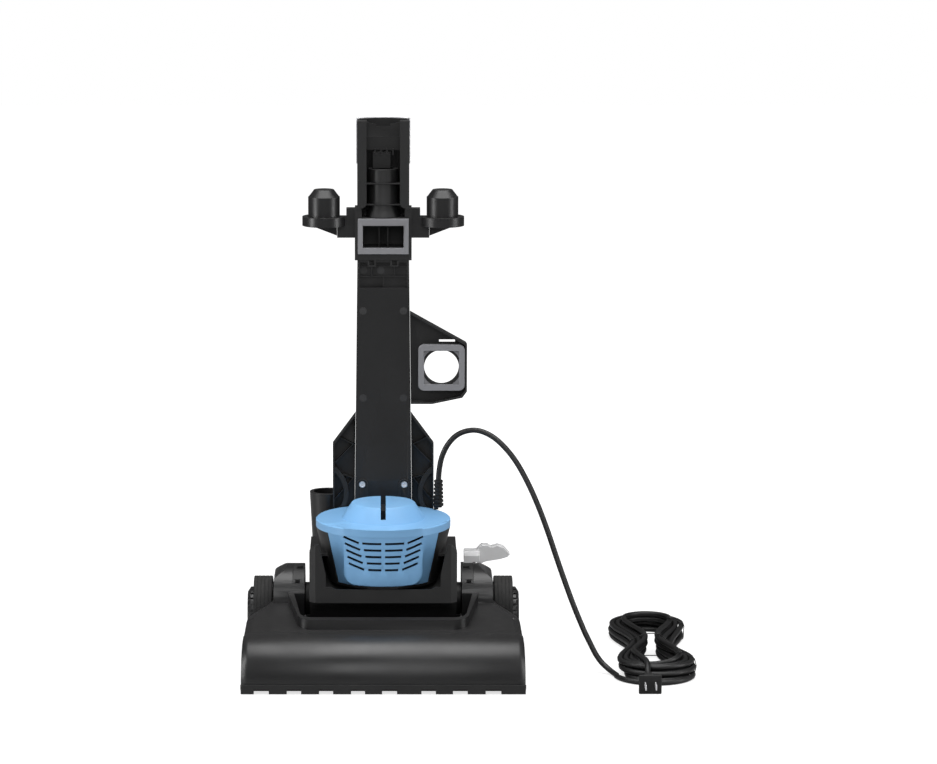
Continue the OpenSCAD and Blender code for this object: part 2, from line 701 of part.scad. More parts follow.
module armature() color([0.55, 0.3, 0.15]) {
    ring_x(27.4, shaft_r, [-stack_x, stack_x], pivot_y, pivot_z);
    ring_x(20, shaft_r, [-stack_x - 8, -stack_x], pivot_y, pivot_z);
    ring_x(20, shaft_r, [stack_x, stack_x + 4], pivot_y, pivot_z);
}
module commutator() color([0.8, 0.5, 0.3]) ring_x(13, shaft_r, [stack_x + 4, stack_x + 15], pivot_y, pivot_z);
module carbon_brushes() color([0.15, 0.15, 0.15])
    for (s = [-1, 1]) box([stack_x + 6, stack_x + 12], [pivot_y - 4, pivot_y + 4],
        [pivot_z + (s > 0 ? 13.3 : -can_r + 3.2), pivot_z + (s > 0 ? can_r - 3.2 : -13.3)]);
fan_x = can_x + 16;
module fan() color([0.2, 0.2, 0.22]) {
    ring_x(38, shaft_r, [-fan_x, 2 - fan_x], pivot_y, pivot_z);
    ring_x(9, shaft_r, [-fan_x - 12, -fan_x], pivot_y, pivot_z);
    for (a = [0:45:315]) translate([-fan_x - 11, pivot_y, pivot_z]) rotate([a, 0, 0])
        translate([0, -1, 9.5]) cube([11, 2, 27]);
}
module fan_shroud() color([0.2, 0.2, 0.21]) {
    difference() {
        rod_x(drum_r - wall, [-can_x - 36, -can_x - 6], pivot_y, pivot_z);
        rod_x(drum_r - wall - 3, [-can_x - 32, -can_x - 9], pivot_y, pivot_z);
        rod_x(20, [-can_x - 40, 0], pivot_y, pivot_z);
    }
}
module motor_mounts() color([0.05, 0.05, 0.05]) {
    for (x = [-stack_x - 8, stack_x]) ring_x(drum_r - wall, can_r, [x, x + 8], pivot_y, pivot_z);
}

exhaust_z = [bucket_low_z + wall + loose, 145];
inlet_z = [148, 170];
module exhaust_filter() color([0.9, 0.9, 0.88])
    intersection() {
        vent_sector(bay_a - 4, 0) polygon([[bucket_low_r - cap_wall - 6, exhaust_z[0]],
            [bucket_low_r - cap_wall - loose, exhaust_z[0]], [bucket_low_r - cap_wall - loose, exhaust_z[1]],
            [bucket_low_r - cap_wall - 6, exhaust_z[1]]]);
        box([-60, 60], [-80, 0], [0, 200]);
    }

module inlet_filter() color([0.2, 0.2, 0.2])
    translate([0, cap_y, inlet_z[0]])
        cylinder(r = bucket_r(inlet_z[0]) - wall - loose, h = inlet_z[1] - inlet_z[0]);

// Cap: rim, hollow dome with a slot, and the vent panel with its raised bay
module filter_cap() color([0.42, 0.66, 0.9]) {
    rim_top = cap_z + rim_t;
    dome_top = rim_top + dome_h;
    difference() {
        union() {
            translate([0, cap_y, 0]) rotate_extrude() polygon([
                [0, cap_z], [cap_r, cap_z], [cap_r, rim_top - 1.5], [cap_r - 1.5, rim_top],
                [dome_low_r, rim_top], [dome_top_r + 1, dome_top - 1], [dome_top_r, dome_top], [0, dome_top]]);
            vent_sector(panel_a, 0) polygon([[bucket_r(bucket_low_z) - cap_wall, bucket_low_z + wall + loose],
                [bucket_r(bucket_low_z), bucket_low_z + wall + loose], [cap_r, cap_z + 1],
                [cap_r - cap_wall, cap_z + 1]]);
            intersection() {
                vent_sector(bay_a, 0) polygon([[bucket_r(bucket_low_z + 5) - cap_wall, bucket_low_z + 5],
                    [bay_r, bucket_low_z + 5], [cap_r + bay_lip, rim_top], [cap_r - cap_wall, rim_top],
                    [cap_r - cap_wall, cap_z + 1]]);
                along_y(-100, 0) translate([0, 157]) round_rect(98, 84, 14);
            }
        }
        translate([0, cap_y, 0]) rotate_extrude() polygon([[0, cap_z - 1], [cap_r - cap_wall - 8, cap_z - 1],
            [cap_r - cap_wall - 8, rim_top - cap_wall], [dome_low_r - cap_wall, rim_top - cap_wall],
            [dome_top_r - 1, dome_top - cap_wall], [0, dome_top - cap_wall]]);
        intersection() {
            vent_sector(bay_a - 2, 0) polygon([[50, bucket_low_z + 8], [bay_r - cap_wall, bucket_low_z + 8],
                [cap_r - cap_wall, cap_z - 3], [50, cap_z - 3]]);
            along_y(-100, 0) translate([0, 150]) round_rect(92, 62, 12);
        }
        box([-latch_slot / 2, latch_slot / 2], [cap_y - dome_low_r + 4, cap_y + dome_low_r],
            [rim_top + 2, dome_top + 1]);
        vent_slots();
    }
    box([-11, 11], [cap_y - cap_r + cap_wall + 6, cap_y + cap_r - cap_wall - 6],
        [rim_top - cap_wall - latch_tray, rim_top - cap_wall]);
}

// Five rows of four slots; the outer ones climb outwards and every row is narrower than the last
slot_top_z = 169.5;
module vent_slots() {
    both() for (k = [0:4]) translate([0, -90, slot_top_z - k * slot_pitch]) {
        translate([2.3, 0, -slot_h / 2]) cube([23.6 - k * 1.85, 70, slot_h]);
        translate([30.2 - k * 1.65, 0, 0]) rotate([0, -19, 0]) translate([0, 0, -slot_h / 2])
            cube([20.3, 70, slot_h]);
    }
}

latch_tray = 2.5;
module cap_latch() color([0.08, 0.08, 0.08]) {
    seat = cap_z + rim_t - cap_wall + loose;
    box([-9, 9], [cap_y - 20, cap_y + 22], [seat, seat + 3.5]);
    box([-latch_slot / 2 + loose, latch_slot / 2 - loose], [cap_y - 20, cap_y + 22],
        [seat + 3, seat + dome_h - 5]);
}

// ---- Spine ----

module spine_2d(g, z0, z1) {
    polygon([[-spine_half(z0) + g, z0], [spine_half(z0) - g, z0], [spine_half(z1) - g, z1],
        [-spine_half(z1) + g, z1]]);
}

module spine_lower() color([0.11, 0.11, 0.12]) {
    difference() {
        union() {
            difference() {
                along_y(spine_y, spine_back) spine_2d(0, spine_z0, block_z0);
                along_y(spine_y - 1, spine_back - wall) spine_2d(wall, spine_z0 + wall, block_z0 - wall);
            }
            difference() {
                box([-leg_half, leg_half], [yoke_back + loose, spine_back], [leg_z, spine_z0 + 1]);
                box([wall - leg_half, leg_half - wall], [yoke_back + loose + wall, spine_back - wall],
                    [leg_z + wall, spine_z0 - 1]);
            }
            along_y(spine_y + 4, spine_y + 6) spine_2d(1, recess_z - 3, block_z0 - 1);
            for (x = tab_x) {
                tab(x, row_z[1] - 0.5);
                box([x - 0.6, x + 0.6], [spine_y, spine_y + 5], row_z);
            }
            box([-0.6, 0.6], [spine_y, spine_y + 5], [recess_z, row_z[0]]);
            for (z = row_z)
                box([-spine_high + 1, spine_high - 1], [spine_y + 1.5, spine_y + 5], [z - 0.5, z + 0.5]);
        }
        translate([0, cap_y, 0]) cylinder(r = cap_r + 0.5, h = cap_z + rim_t + 0.5);
        both() screw_hole(217);
        switch_hole();
        for (x = tab_x) box([x - 3, x + 3], [spine_y - 2, spine_y + 4], [row_z[1] + 1.5, block_z0 + 1]);
    }
}
leg_half = 30;
leg_z = 100;
tab_x = [-14.5, 14];
row_z = [block_z0 - 21, block_z0 - 8];
// A square loop that hooks under the block
module tab(x, z) {
    along_y(spine_y - 0.5, spine_y + 5) difference() {
        translate([x - 5.3, z]) square([10.6, block_z0 - z - fit_gap]);
        translate([x - 3, z + 2]) square([6, 20]);
    }
}
module screw_hole(z) translate([26.7, spine_y - 20, z]) rotate([-90, 0, 0]) cylinder(r = 1.8, h = 60);

module duct_cover() color([0.17, 0.17, 0.18]) {
    difference() {
        union() {
            along_y(spine_y - cover_t, spine_y) spine_2d(0.6, 189, recess_z);
            both() translate([26.7, spine_y, 217]) rotate([90, 0, 0]) cylinder(r = 7, h = cover_t + 3);
            both() box([19.7, 33.7], [spine_y - cover_t - 3, spine_y - cover_t], [189, 217]);
        }
        both() translate([26.7, spine_y - cover_t, 217]) rotate([90, 0, 0]) cylinder(r = 4.6, h = 10);
        both() box([22.1, 31.3], [spine_y - cover_t - 10, spine_y - cover_t - 1], [180, 214]);
        both() screw_hole(217);
    }
}

module spine_upper() color([0.11, 0.11, 0.12]) {
    difference() {
        union() {
            box([-block_w, block_w], [spine_y - 2, spine_back], [block_z0, channel_z]);
            along_y(spine_y - 4, spine_y + 12) both() flange_2d();
            for (z = shelf_z)
                box([-channel_in - 1, channel_in + 1], [spine_y - 3, spine_y + 12], [z - 0.6, z + 0.6]);
            up(channel_z - 1, top_z) difference() {
                top_back_2d(0);
                top_back_2d(wall);
            }
            along_y(spine_y + 15.2, spine_y + 17) panel_2d();
            box([1 - channel_w, channel_w - 1], [spine_y + 14, spine_y + 17], [top_z - 38, top_z - 21]);
            for (x = [-11:7.5:11.5]) box([x, x + 1.6], [spine_y + 9, spine_y + 16],
                [top_z - 44, top_z - 36]);
            box([-13, 9], [spine_y + 12, spine_y + 30], [tube_top + 0.3, top_z - 42]);
            both() tool_arm();
        }
        box([-port[0], port[0]], [spine_y - 10, spine_back - wall], [port[1], port[2]]);
        box([-block_w + wall, block_w - wall], [spine_y + 6, spine_back - wall],
            [block_z0 - 1, gasket[1] - 2]);
        box([-channel_in - 6, channel_in + 6], [spine_y - 10, spine_back - 1],
            [gasket[2] + 1, channel_z + 1]);
        translate([0, spine_y + tube_back, channel_z])
            cylinder(r = handle_r + fit_gap, h = tube_top - channel_z + 0.2);
    }
    for (x = [-6, 5]) box([x, x + 1.5], [spine_y + 10, spine_back - wall + 0.5],
        [port[1] - 0.5, port[2] + 0.5]);
}
shelf_z = [channel_z + 5.5, channel_z + 32];
tube_back = 17.5;
corner_r = 7;
// Front flange beside the handle's channel, rounded where it runs out over the port
module flange_2d() {
    difference() {
        translate([channel_in, channel_z - 1]) square([channel_w - channel_in, top_z - channel_z + 1]);
        difference() {
            translate([channel_in - 1, channel_z - 2]) square([corner_r + 1, corner_r + 3]);
            translate([channel_in + corner_r, channel_z + 1 + corner_r]) circle(corner_r);
        }
    }
}
// Panel behind the flanges, dished and notched at the top where the handle goes in
module panel_2d() {
    difference() {
        translate([1 - channel_w, top_z - 38]) square([2 * channel_w - 2, 35]);
        translate([0, top_z + 50]) circle(56.5);
        translate([-8.6, top_z - 8.5]) square([17.2, 10]);
    }
}
// Plan of the top's outer skin: flat sides and a bowed back
module top_back_2d(g) {
    translate([0, spine_y + 8]) intersection() {
        translate([-channel_w + g, g > 0 ? -20 : 0]) square([2 * (channel_w - g), 60]);
        translate([0, 42 - 62]) circle(52 - g);
    }
}

// An arm: tall beside the spine, and low enough under the post to leave its sleeve free
module tool_arm() {
    box([block_w - 1, arm_x[0]], [spine_y + 3, spine_y + 22], arm_z);
    box([block_w - 1, arm_x[1]], [spine_y + 3, spine_y + 22], [arm_z[0], post_plate[1] - loose]);
}

module tool_post() {
    translate([post_x, spine_y + 10, 0]) difference() {
        union() {
            translate([0, 0, post_plate[0]]) cylinder(r = plate_r, h = post_plate[1] - post_plate[0]);
            translate([0, 0, post_plate[1]]) cylinder(r = post_r, h = post_h - 9);
            translate([0, 0, post_plate[1] + post_h - 9]) cylinder(r1 = post_r - 0.6, r2 = 12.5, h = 9);
        }
        translate([0, 0, post_plate[0] - 1]) cylinder(r = post_r - 3, h = post_h);
        translate([-post_x, -7 - loose, post_plate[0] - 1])
            cube([arm_x[1] + loose, 19 + 2 * loose + 20, post_plate[1] - post_plate[0] + 1]);
    }
    along_y(spine_y + 8, spine_y + 12)
        polygon([[arm_x[1] + loose, arm_z[0] + 2], [arm_x[1] + loose, post_plate[0]], [92, post_plate[0]]]);
}
module tool_posts() color([0.12, 0.12, 0.13]) both() tool_post();

module port_gasket() color([0.35, 0.35, 0.36])
    along_y(spine_y - 5, spine_y - 2) difference() {
        translate([-gasket[0], gasket[1]]) square([2 * gasket[0], gasket[2] - gasket[1]]);
        translate([-port[0], port[1]]) square([2 * port[0], port[2] - port[1]]);
    }

module rim_trim() color([0.8, 0.8, 0.82]) {
    t = 1.3;
    difference() {
        up(top_z - 54, top_z + 1) difference() {
            translate([0, spine_y + 8]) intersection() {
                translate([-channel_w - t, -10]) square([2 * (channel_w + t), 60]);
                translate([0, 42 - 62]) circle(52 + t);
            }
            top_back_2d(-fit_gap);
            translate([-channel_w - fit_gap, spine_y - 20]) square([2 * (channel_w + fit_gap), 30]);
        }
        box([-80, 80], [0, spine_y + 2], [block_z0, top_z + 20]);
    }
}

// Tube of the handle, flared forwards where it meets the port
module handle_tube() color([0.14, 0.14, 0.15])
    translate([0, spine_y + tube_back, gasket[2] + 1]) difference() {
        union() {
            cylinder(r = handle_r, h = tube_top - gasket[2] - 1);
            intersection() {
                cylinder(r1 = handle_r + 3.5, r2 = handle_r - 0.5, h = 10);
                translate([-40, -40, 0]) cube([80, 40, 10]);
            }
        }
        translate([0, 0, -1]) cylinder(r = handle_bore_r, h = 100);
    }

bracket_y = [spine_y + 2, spine_y + 5];
module bracket_2d(g) {
    side = seat_x + 32.2 - g;
    low = seat_z - 46.5 + g;
    high = seat_z + 29 - g;
    polygon([[30, low], [seat_x - 11.6, low], [side - 5.8, low + 8], [side, low + 16], [side, high],
        [side - 1.8, high + 2.3], [30, high + 43.7 - g * 0.15]]);
}
module hose_bracket() color([0.13, 0.13, 0.14]) {
    difference() {
        union() {
            along_y(bracket_y[0], bracket_y[1]) bracket_2d(0);
            along_y(bracket_y[0] - 14, bracket_y[1]) difference() { bracket_2d(0); bracket_2d(2); }
            along_y(seat_y + 4, bracket_y[1]) translate([seat_x, seat_z]) circle(port_r + 3);
            along_y(bracket_y[0] - 6, bracket_y[1]) translate([seat_x, seat_z])
                round_rect(seat_w - 6, seat_w - 6, 6);
        }
        along_y(0, 200) translate([seat_x, seat_z]) circle(port_r);
        along_y(0, 200) spine_2d(-loose, spine_z0, block_z0);
        box([-block_w - loose, block_w + loose], [0, 200], [block_z0 - loose, top_z]);
        box([seat_x - 3.1, seat_x + 17.1], [0, 200], [seat_z + 31, seat_z + 34]);
    }
}
module port_seal() color([0.36, 0.36, 0.37]) {
    along_y(seat_y, seat_y + 4) difference() {
        translate([seat_x, seat_z]) round_rect(seat_w, seat_w, 7.5);
        translate([seat_x, seat_z]) square([44, 43], center = true);
    }
    along_y(seat_y + 4, bracket_y[0] - 6) difference() {
        translate([seat_x, seat_z]) round_rect(seat_w, seat_w, 7.5);
        translate([seat_x, seat_z]) circle(port_r + 3.2);
    }
}

// Open wing with a zig-zag of ribs and a bowed inner web
module wing() {
    y0 = spine_y - 2;
    z_in = 309;
    outline = [[30, 175], [wing_x, 175], [wing_x, 269], [30, z_in + 6]];
    difference() {
        union() {
            along_y(y0 + wing_depth - 2, y0 + wing_depth) polygon(outline);
            along_y(y0, y0 + wing_depth) difference() {
                polygon(outline);
                polygon([[20, 170], [wing_x - 2, 170], [wing_x - 2, 268.3], [20, z_in + 17]]);
            }
            for (r = [[spine_low + 2, 268, wing_x - 7, 277], [spine_low + 2, 268, wing_x - 2, 243],
                [spine_low + 2, 224, wing_x - 2, 232], [spine_low + 2, 224, wing_x - 2, 196]])
                along_y(y0 + 6, y0 + wing_depth) rib_2d(r);
            along_y(y0 + 3, y0 + wing_depth) intersection() {
                difference() {
                    translate([wing_x + 22, 205]) circle(42);
                    translate([wing_x + 22, 205]) circle(36);
                }
                translate([spine_low + 2, 176]) square([wing_x - spine_low - 3, 66]);
            }
        }
        translate([0, cap_y, 0]) cylinder(r = cap_r + 0.5, h = cap_z + rim_t + 0.5);
        along_y(0, 200) spine_2d(-loose, spine_z0, block_z0);
    }
}
module rib_2d(r) {
    d = [r[2] - r[0], r[3] - r[1]];
    translate([r[0], r[1]]) rotate(atan2(d[1], d[0])) translate([0, -0.6]) square([norm(d), 1.2]);
}
module wing_right() color([0.11, 0.11, 0.12]) wing();
module wing_left() color([0.11, 0.11, 0.12]) mirror([1, 0, 0]) wing();

module hose_pipe() color([0.1, 0.1, 0.11]) {
    difference() {
        union() {
            translate([pipe_x, pipe_y, pipe_low])
                cylinder(r1 = pipe_r - 1.2, r2 = pipe_r + 2, h = pipe_top - pipe_low);
            box([pipe_x + 10, -30], [pipe_y - 4, pipe_y + 2], [pipe_low + 30, pipe_top - 6]);
        }
        translate([pipe_x, pipe_y, pipe_low - 1]) cylinder(r = pipe_bore_r, h = 100);
        along_y(0, 200) spine_2d(-loose, spine_z0, block_z0);
    }
}

module spine_screws() color([0.8, 0.8, 0.82])
    both() translate([26.7, 0, 217]) difference() {
        union() {
            along_y(spine_y - cover_t - 2, spine_y - cover_t) circle(4);
            along_y(spine_y - cover_t - 1, spine_y + 20) circle(1.8);
        }
        for (a = [0, 90]) rotate([0, a, 0]) box([-2, 2], [0, spine_y - cover_t - 1.2], [-0.5, 0.5]);
    }

switch_z = 300;
module switch_hole() { box([-10, 10], [spine_back - 10, spine_back + 1], [switch_z - 15, switch_z + 15]); }
module power_switch() color([0.6, 0.1, 0.1]) {
    difference() {
        union() {
            rod_x(6, [-9.6, 9.6], spine_back - 3, switch_z);
            along_x(-9.6, 9.6) polygon([[spine_back - 6, switch_z - 10], [spine_back + 1, switch_z - 13.5],
                [spine_back + 1.5, switch_z], [spine_back + 3.5, switch_z + 13.5],
                [spine_back - 6, switch_z + 10]]);
        }
        rod_x(1.5, [-20, 20], spine_back - 3, switch_z);
    }
}

module strain_relief() color([0.08, 0.08, 0.08]) {
    h = relief[3] - relief[2];
    translate([relief[0], relief[1], relief[2]]) {
        cylinder(r = 4.6, h = h);
        for (k = [0:6]) translate([0, 0, 2 + k * 5]) cylinder(r = 6.5 - k * 0.15, h = 2.8);
    }
    box([wing_x + 0.2, relief[0]], [relief[1] - 4, spine_y + 6], [relief[2] - 2.4, relief[2] + 8]);
}

// ---- Cord ----

function unit(v) = v / norm(v);
function heading(p, i) = unit(p[min(i + 1, len(p) - 1)] - p[max(i - 1, 0)]);
// A smooth run of points through the chosen ones
function smooth(p, n) = [for (i = [0:len(p) - 2], k = [0:n - 1]) let (t = k / n,
    a = p[max(i - 1, 0)], b = p[i], c = p[i + 1], d = p[min(i + 2, len(p) - 1)])
    0.5 * (2 * b + (c - a) * t + (2 * a - 5 * b + 4 * c - d) * t * t + (3 * b - a - 3 * c + d) * t * t * t)];
module cord_tube() color([0.07, 0.07, 0.07]) {
    path = concat(smooth(lead, 3), [lead[len(lead) - 1]]);
    n = len(path);
    sides = 8;
    points = [for (i = [0:n - 1])
        let (t = heading(path, i), a = unit(cross(t, [0.3, 1, 0.1])), b = cross(t, a))
        for (k = [0:sides - 1]) path[i] + cord_d / 2 * (cos(360 * k / sides) * a + sin(360 * k / sides) * b)];
    walls = [for (i = [0:n - 2], k = [0:sides - 1]) let (j = (k + 1) % sides)
        [i * sides + k, i * sides + j, (i + 1) * sides + j, (i + 1) * sides + k]];
    polyhedron(points, concat([[for (k = [sides - 1:-1:0]) k]], walls,
        [[for (k = [0:sides - 1]) (n - 1) * sides + k]]));
}

// A waisted loop: a wide round at each end, drawn in at the tie in the middle
module hank_2d() {
    end_r = hank_w / 2;
    reach = hank_len / 2 - end_r;
    for (s = [-1, 1]) translate([0, s * reach]) circle(end_r);
    polygon(concat([for (i = [0:12]) let (t = i / 12) [hank_half(t), -reach + 2 * reach * t]],
        [for (i = [12:-1:0]) let (t = i / 12) [-hank_half(t), -reach + 2 * reach * t]]));
}
function hank_half(t) = hank_waist / 2 + (hank_w - hank_waist) / 2 * (1 + cos(360 * t)) / 2;
module cord_hank() color([0.07, 0.07, 0.07])
    translate([hank_x, hank_y, 0]) linear_extrude(hank_h) hank_2d();

module cord_ties() color([0.05, 0.05, 0.05]) {
    for (t = [0, -100, 92]) translate([hank_x, hank_y + t, 0])
        translate([t == 0 ? -hank_waist / 2 : (t < 0 ? 5 : 0), -1, hank_h])
            cube([t == 0 ? hank_waist : 38, 2, 1]);
}

module plug_body() color([0.08, 0.08, 0.08])
    translate([hank_x - 14, plug_y, 0]) {
        translate([-6, -19, 6]) cube([12, 19, 12]);
        translate([-13, -23, 6]) cube([26, 5, 12]);
        translate([-11, -40, 3]) cube([22, 18, 18]);
        translate([-14, -44, 0]) cube([28, 4, 24]);
    }
module plug_blades() color([0.85, 0.85, 0.86])
    for (s = [-1, 1]) translate([hank_x - 14 + s * 6.35 - 0.75, plug_y - 62, 9]) cube([1.5, 18, 6.4]);

foot_shell();
base_frame();
sole_plate();
front_comb();
pivot_caps();
suction_duct();
lower_hose();
drive_belt();
brush_bearings();
brush_axle();
brush_core();
bristles();
wheel_axles();
wheel_left();
tyre_left();
wheel_right();
tyre_right();
roller_axles();
front_roller_left();
front_roller_right();
release_pedal();
pedal_pin();
pedal_spring();
sole_screws();
motor_housing();
trunnion_left();
trunnion_right();
motor_can();
field_stack();
motor_shaft();
armature();
commutator();
carbon_brushes();
fan();
fan_shroud();
motor_mounts();
exhaust_filter();
inlet_filter();
filter_cap();
cap_latch();
spine_lower();
duct_cover();
spine_upper();
port_gasket();
rim_trim();
handle_tube();
tool_posts();
hose_bracket();
port_seal();
wing_left();
wing_right();
hose_pipe();
spine_screws();
power_switch();
strain_relief();
cord_tube();
cord_hank();
cord_ties();
plug_body();
plug_blades();
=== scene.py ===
"""Upright vacuum cleaner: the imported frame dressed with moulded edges, finishes, hose and cord.

Every length is in metres in the frame's own axes: X across the machine, Y towards the back, Z up.
"""
from __future__ import annotations

import json
import logging
import math
import random
from dataclasses import dataclass
from enum import Enum
from typing import Iterable, Sequence

import bmesh
import bpy
from mathutils import Matrix, Vector

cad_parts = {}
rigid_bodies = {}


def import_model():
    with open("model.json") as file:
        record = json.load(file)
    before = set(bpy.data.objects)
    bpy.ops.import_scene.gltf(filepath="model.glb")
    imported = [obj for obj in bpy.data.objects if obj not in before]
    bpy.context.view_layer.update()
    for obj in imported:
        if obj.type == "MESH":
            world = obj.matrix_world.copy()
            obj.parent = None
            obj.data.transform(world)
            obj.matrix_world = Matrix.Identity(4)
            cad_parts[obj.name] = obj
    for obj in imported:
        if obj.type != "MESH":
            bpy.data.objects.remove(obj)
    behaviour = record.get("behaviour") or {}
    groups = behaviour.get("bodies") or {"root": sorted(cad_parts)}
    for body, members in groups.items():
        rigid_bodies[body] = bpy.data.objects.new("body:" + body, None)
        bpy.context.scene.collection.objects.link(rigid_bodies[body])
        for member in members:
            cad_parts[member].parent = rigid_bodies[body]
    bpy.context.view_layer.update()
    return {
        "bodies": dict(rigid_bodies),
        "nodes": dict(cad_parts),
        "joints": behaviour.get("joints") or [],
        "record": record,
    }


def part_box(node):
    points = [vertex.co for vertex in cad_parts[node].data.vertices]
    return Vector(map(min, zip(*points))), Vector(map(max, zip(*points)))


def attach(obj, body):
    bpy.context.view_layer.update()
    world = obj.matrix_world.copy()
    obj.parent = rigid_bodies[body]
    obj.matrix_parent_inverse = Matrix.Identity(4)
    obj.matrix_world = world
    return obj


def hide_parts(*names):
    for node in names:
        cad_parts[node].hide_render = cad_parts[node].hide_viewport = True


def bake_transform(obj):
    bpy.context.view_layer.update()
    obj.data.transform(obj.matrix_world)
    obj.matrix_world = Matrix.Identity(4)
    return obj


Colour = tuple[float, float, float]
Point = tuple[float, float, float]
MM = 0.001
WHITE = (1.0, 1.0, 1.0, 1.0)
LOG = logging.getLogger("vacuum_cleaner")


class Body(str, Enum):
    """The rigid bodies that a piece can ride on."""

    FOOT = "foot"
    UPRIGHT = "upright"
    BRUSH = "brush_roll"
    WHEEL_LEFT = "wheel_left"
    WHEEL_RIGHT = "wheel_right"
    ROLLER_LEFT = "front_roller_left"
    ROLLER_RIGHT = "front_roller_right"
    PEDAL = "release_pedal"
    ROTOR = "motor_rotor"
    LATCH = "cap_latch"
    SWITCH = "power_switch"


class Texture(Enum):
    """How a surface feels, as the scale of its grain in grains a metre."""

    SATIN = 2600.0
    SPARK = 1500.0
    FOAM = 700.0
    SHEATH = 3200.0


# ---- Shared shader effects ----


def add_node(
    tree: bpy.types.NodeTree, kind: str, inputs: dict | None = None, **settings: object,
) -> bpy.types.Node:
    """Add a shader node.

    Args:
        tree: the nodes to add it to.
        kind: its type without the leading ShaderNode.
        inputs: values of its unlinked inputs by name or number.
        settings: values of its own settings by name.

    Returns:
        The node.
    """
    node = tree.nodes.new(f"ShaderNode{kind}")
    for name, value in settings.items():
        setattr(node, name, value)
    for name, value in (inputs or {}).items():
        node.inputs[name].default_value = value
    return node


class Effects:
    """Shader node groups that several finishes share, each built once."""

    @staticmethod
    def _new(
        name: str, inputs: Sequence[tuple[str, str, object]], outputs: Sequence[tuple[str, str]],
    ) -> tuple[bpy.types.NodeTree, bpy.types.Node, bpy.types.Node]:
        """Start a node group.

        Args:
            name: the group's name.
            inputs: socket name, socket type and default value of each input.
            outputs: socket name and socket type of each output.

        Returns:
            The group, its input node and its output node.
        """
        group = bpy.data.node_groups.new(name, "ShaderNodeTree")
        for label, kind, value in inputs:
            socket = group.interface.new_socket(label, in_out="INPUT", socket_type=kind)
            socket.default_value = value
        for label, kind in outputs:
            group.interface.new_socket(label, in_out="OUTPUT", socket_type=kind)
        return group, group.nodes.new("NodeGroupInput"), group.nodes.new("NodeGroupOutput")

    @classmethod
    def grain(cls) -> bpy.types.NodeTree:
        """Fine moulded grain: the height of a spark-eroded or foamed skin.

        Returns:
            The node group.
        """
        found = bpy.data.node_groups.get("moulded_grain")
        if found:
            return found
        group, into, out = cls._new(
            "moulded_grain",
            [("Scale", "NodeSocketFloat", 1500.0), ("Pits", "NodeSocketFloat", 0.3)],
            [("Height", "NodeSocketFloat")],
        )
        place = add_node(group, "TexCoord")
        noise = add_node(group, "TexNoise", {"Detail": 3.0})
        cells = add_node(group, "TexVoronoi")
        blend = add_node(group, "Mix")
        link = group.links.new
        for texture in (noise, cells):
            link(place.outputs["Object"], texture.inputs["Vector"])
            link(into.outputs["Scale"], texture.inputs["Scale"])
        link(into.outputs["Pits"], blend.inputs["Factor"])
        link(noise.outputs["Fac"], blend.inputs["A"])
        link(cells.outputs["Distance"], blend.inputs["B"])
        link(blend.outputs["Result"], out.inputs["Height"])
        return group

    @classmethod
    def drift(cls) -> bpy.types.NodeTree:
        """Slow drift between two tones, as a moulding's colour drifts with its flow and handling.

        Returns:
            The node group.
        """
        found = bpy.data.node_groups.get("tone_drift")
        if found:
            return found
        group, into, out = cls._new(
            "tone_drift",
            [
                ("Tone", "NodeSocketColor", (0.1, 0.1, 0.1, 1.0)),
                ("Shade", "NodeSocketColor", (0.05, 0.05, 0.05, 1.0)),
                ("Scale", "NodeSocketFloat", 14.0),
            ],
            [("Color", "NodeSocketColor"), ("Amount", "NodeSocketFloat")],
        )
        place = add_node(group, "TexCoord")
        noise = add_node(group, "TexNoise", {"Detail": 4.0})
        spread = add_node(group, "MapRange", {"From Min": 0.35, "From Max": 0.65})
        mix = add_node(group, "Mix", data_type="RGBA")
        link = group.links.new
        link(place.outputs["Object"], noise.inputs["Vector"])
        link(into.outputs["Scale"], noise.inputs["Scale"])
        link(noise.outputs["Fac"], spread.inputs["Value"])
        link(spread.outputs["Result"], mix.inputs["Factor"])
        link(into.outputs["Tone"], mix.inputs[6])
        link(into.outputs["Shade"], mix.inputs[7])
        link(mix.outputs[2], out.inputs["Color"])
        link(spread.outputs["Result"], out.inputs["Amount"])
        return group

    @classmethod
    def settled_dust(cls) -> bpy.types.NodeTree:
        """Faint dust on faces that look up, as a mask that a finish lightens with.

        Returns:
            The node group.
        """
        found = bpy.data.node_groups.get("settled_dust")
        if found:
            return found
        group, into, out = cls._new(
            "settled_dust",
            [("Amount", "NodeSocketFloat", 0.1), ("Scale", "NodeSocketFloat", 160.0)],
            [("Mask", "NodeSocketFloat")],
        )
        shape = add_node(group, "NewGeometry")
        split = add_node(group, "SeparateXYZ")
        facing = add_node(group, "MapRange", {"From Min": 0.55, "From Max": 1.0})
        place = add_node(group, "TexCoord")
        noise = add_node(group, "TexNoise", {"Detail": 5.0})
        patch = add_node(group, "Math", operation="MULTIPLY")
        scaled = add_node(group, "Math", operation="MULTIPLY")
        link = group.links.new
        link(shape.outputs["Normal"], split.inputs["Vector"])
        link(split.outputs["Z"], facing.inputs["Value"])
        link(place.outputs["Object"], noise.inputs["Vector"])
        link(into.outputs["Scale"], noise.inputs["Scale"])
        link(facing.outputs["Result"], patch.inputs[0])
        link(noise.outputs["Fac"], patch.inputs[1])
        link(patch.outputs["Value"], scaled.inputs[0])
        link(into.outputs["Amount"], scaled.inputs[1])
        link(scaled.outputs["Value"], out.inputs["Mask"])
        return group


# ---- Finishes ----

DUST_TONE = (0.3, 0.29, 0.28)


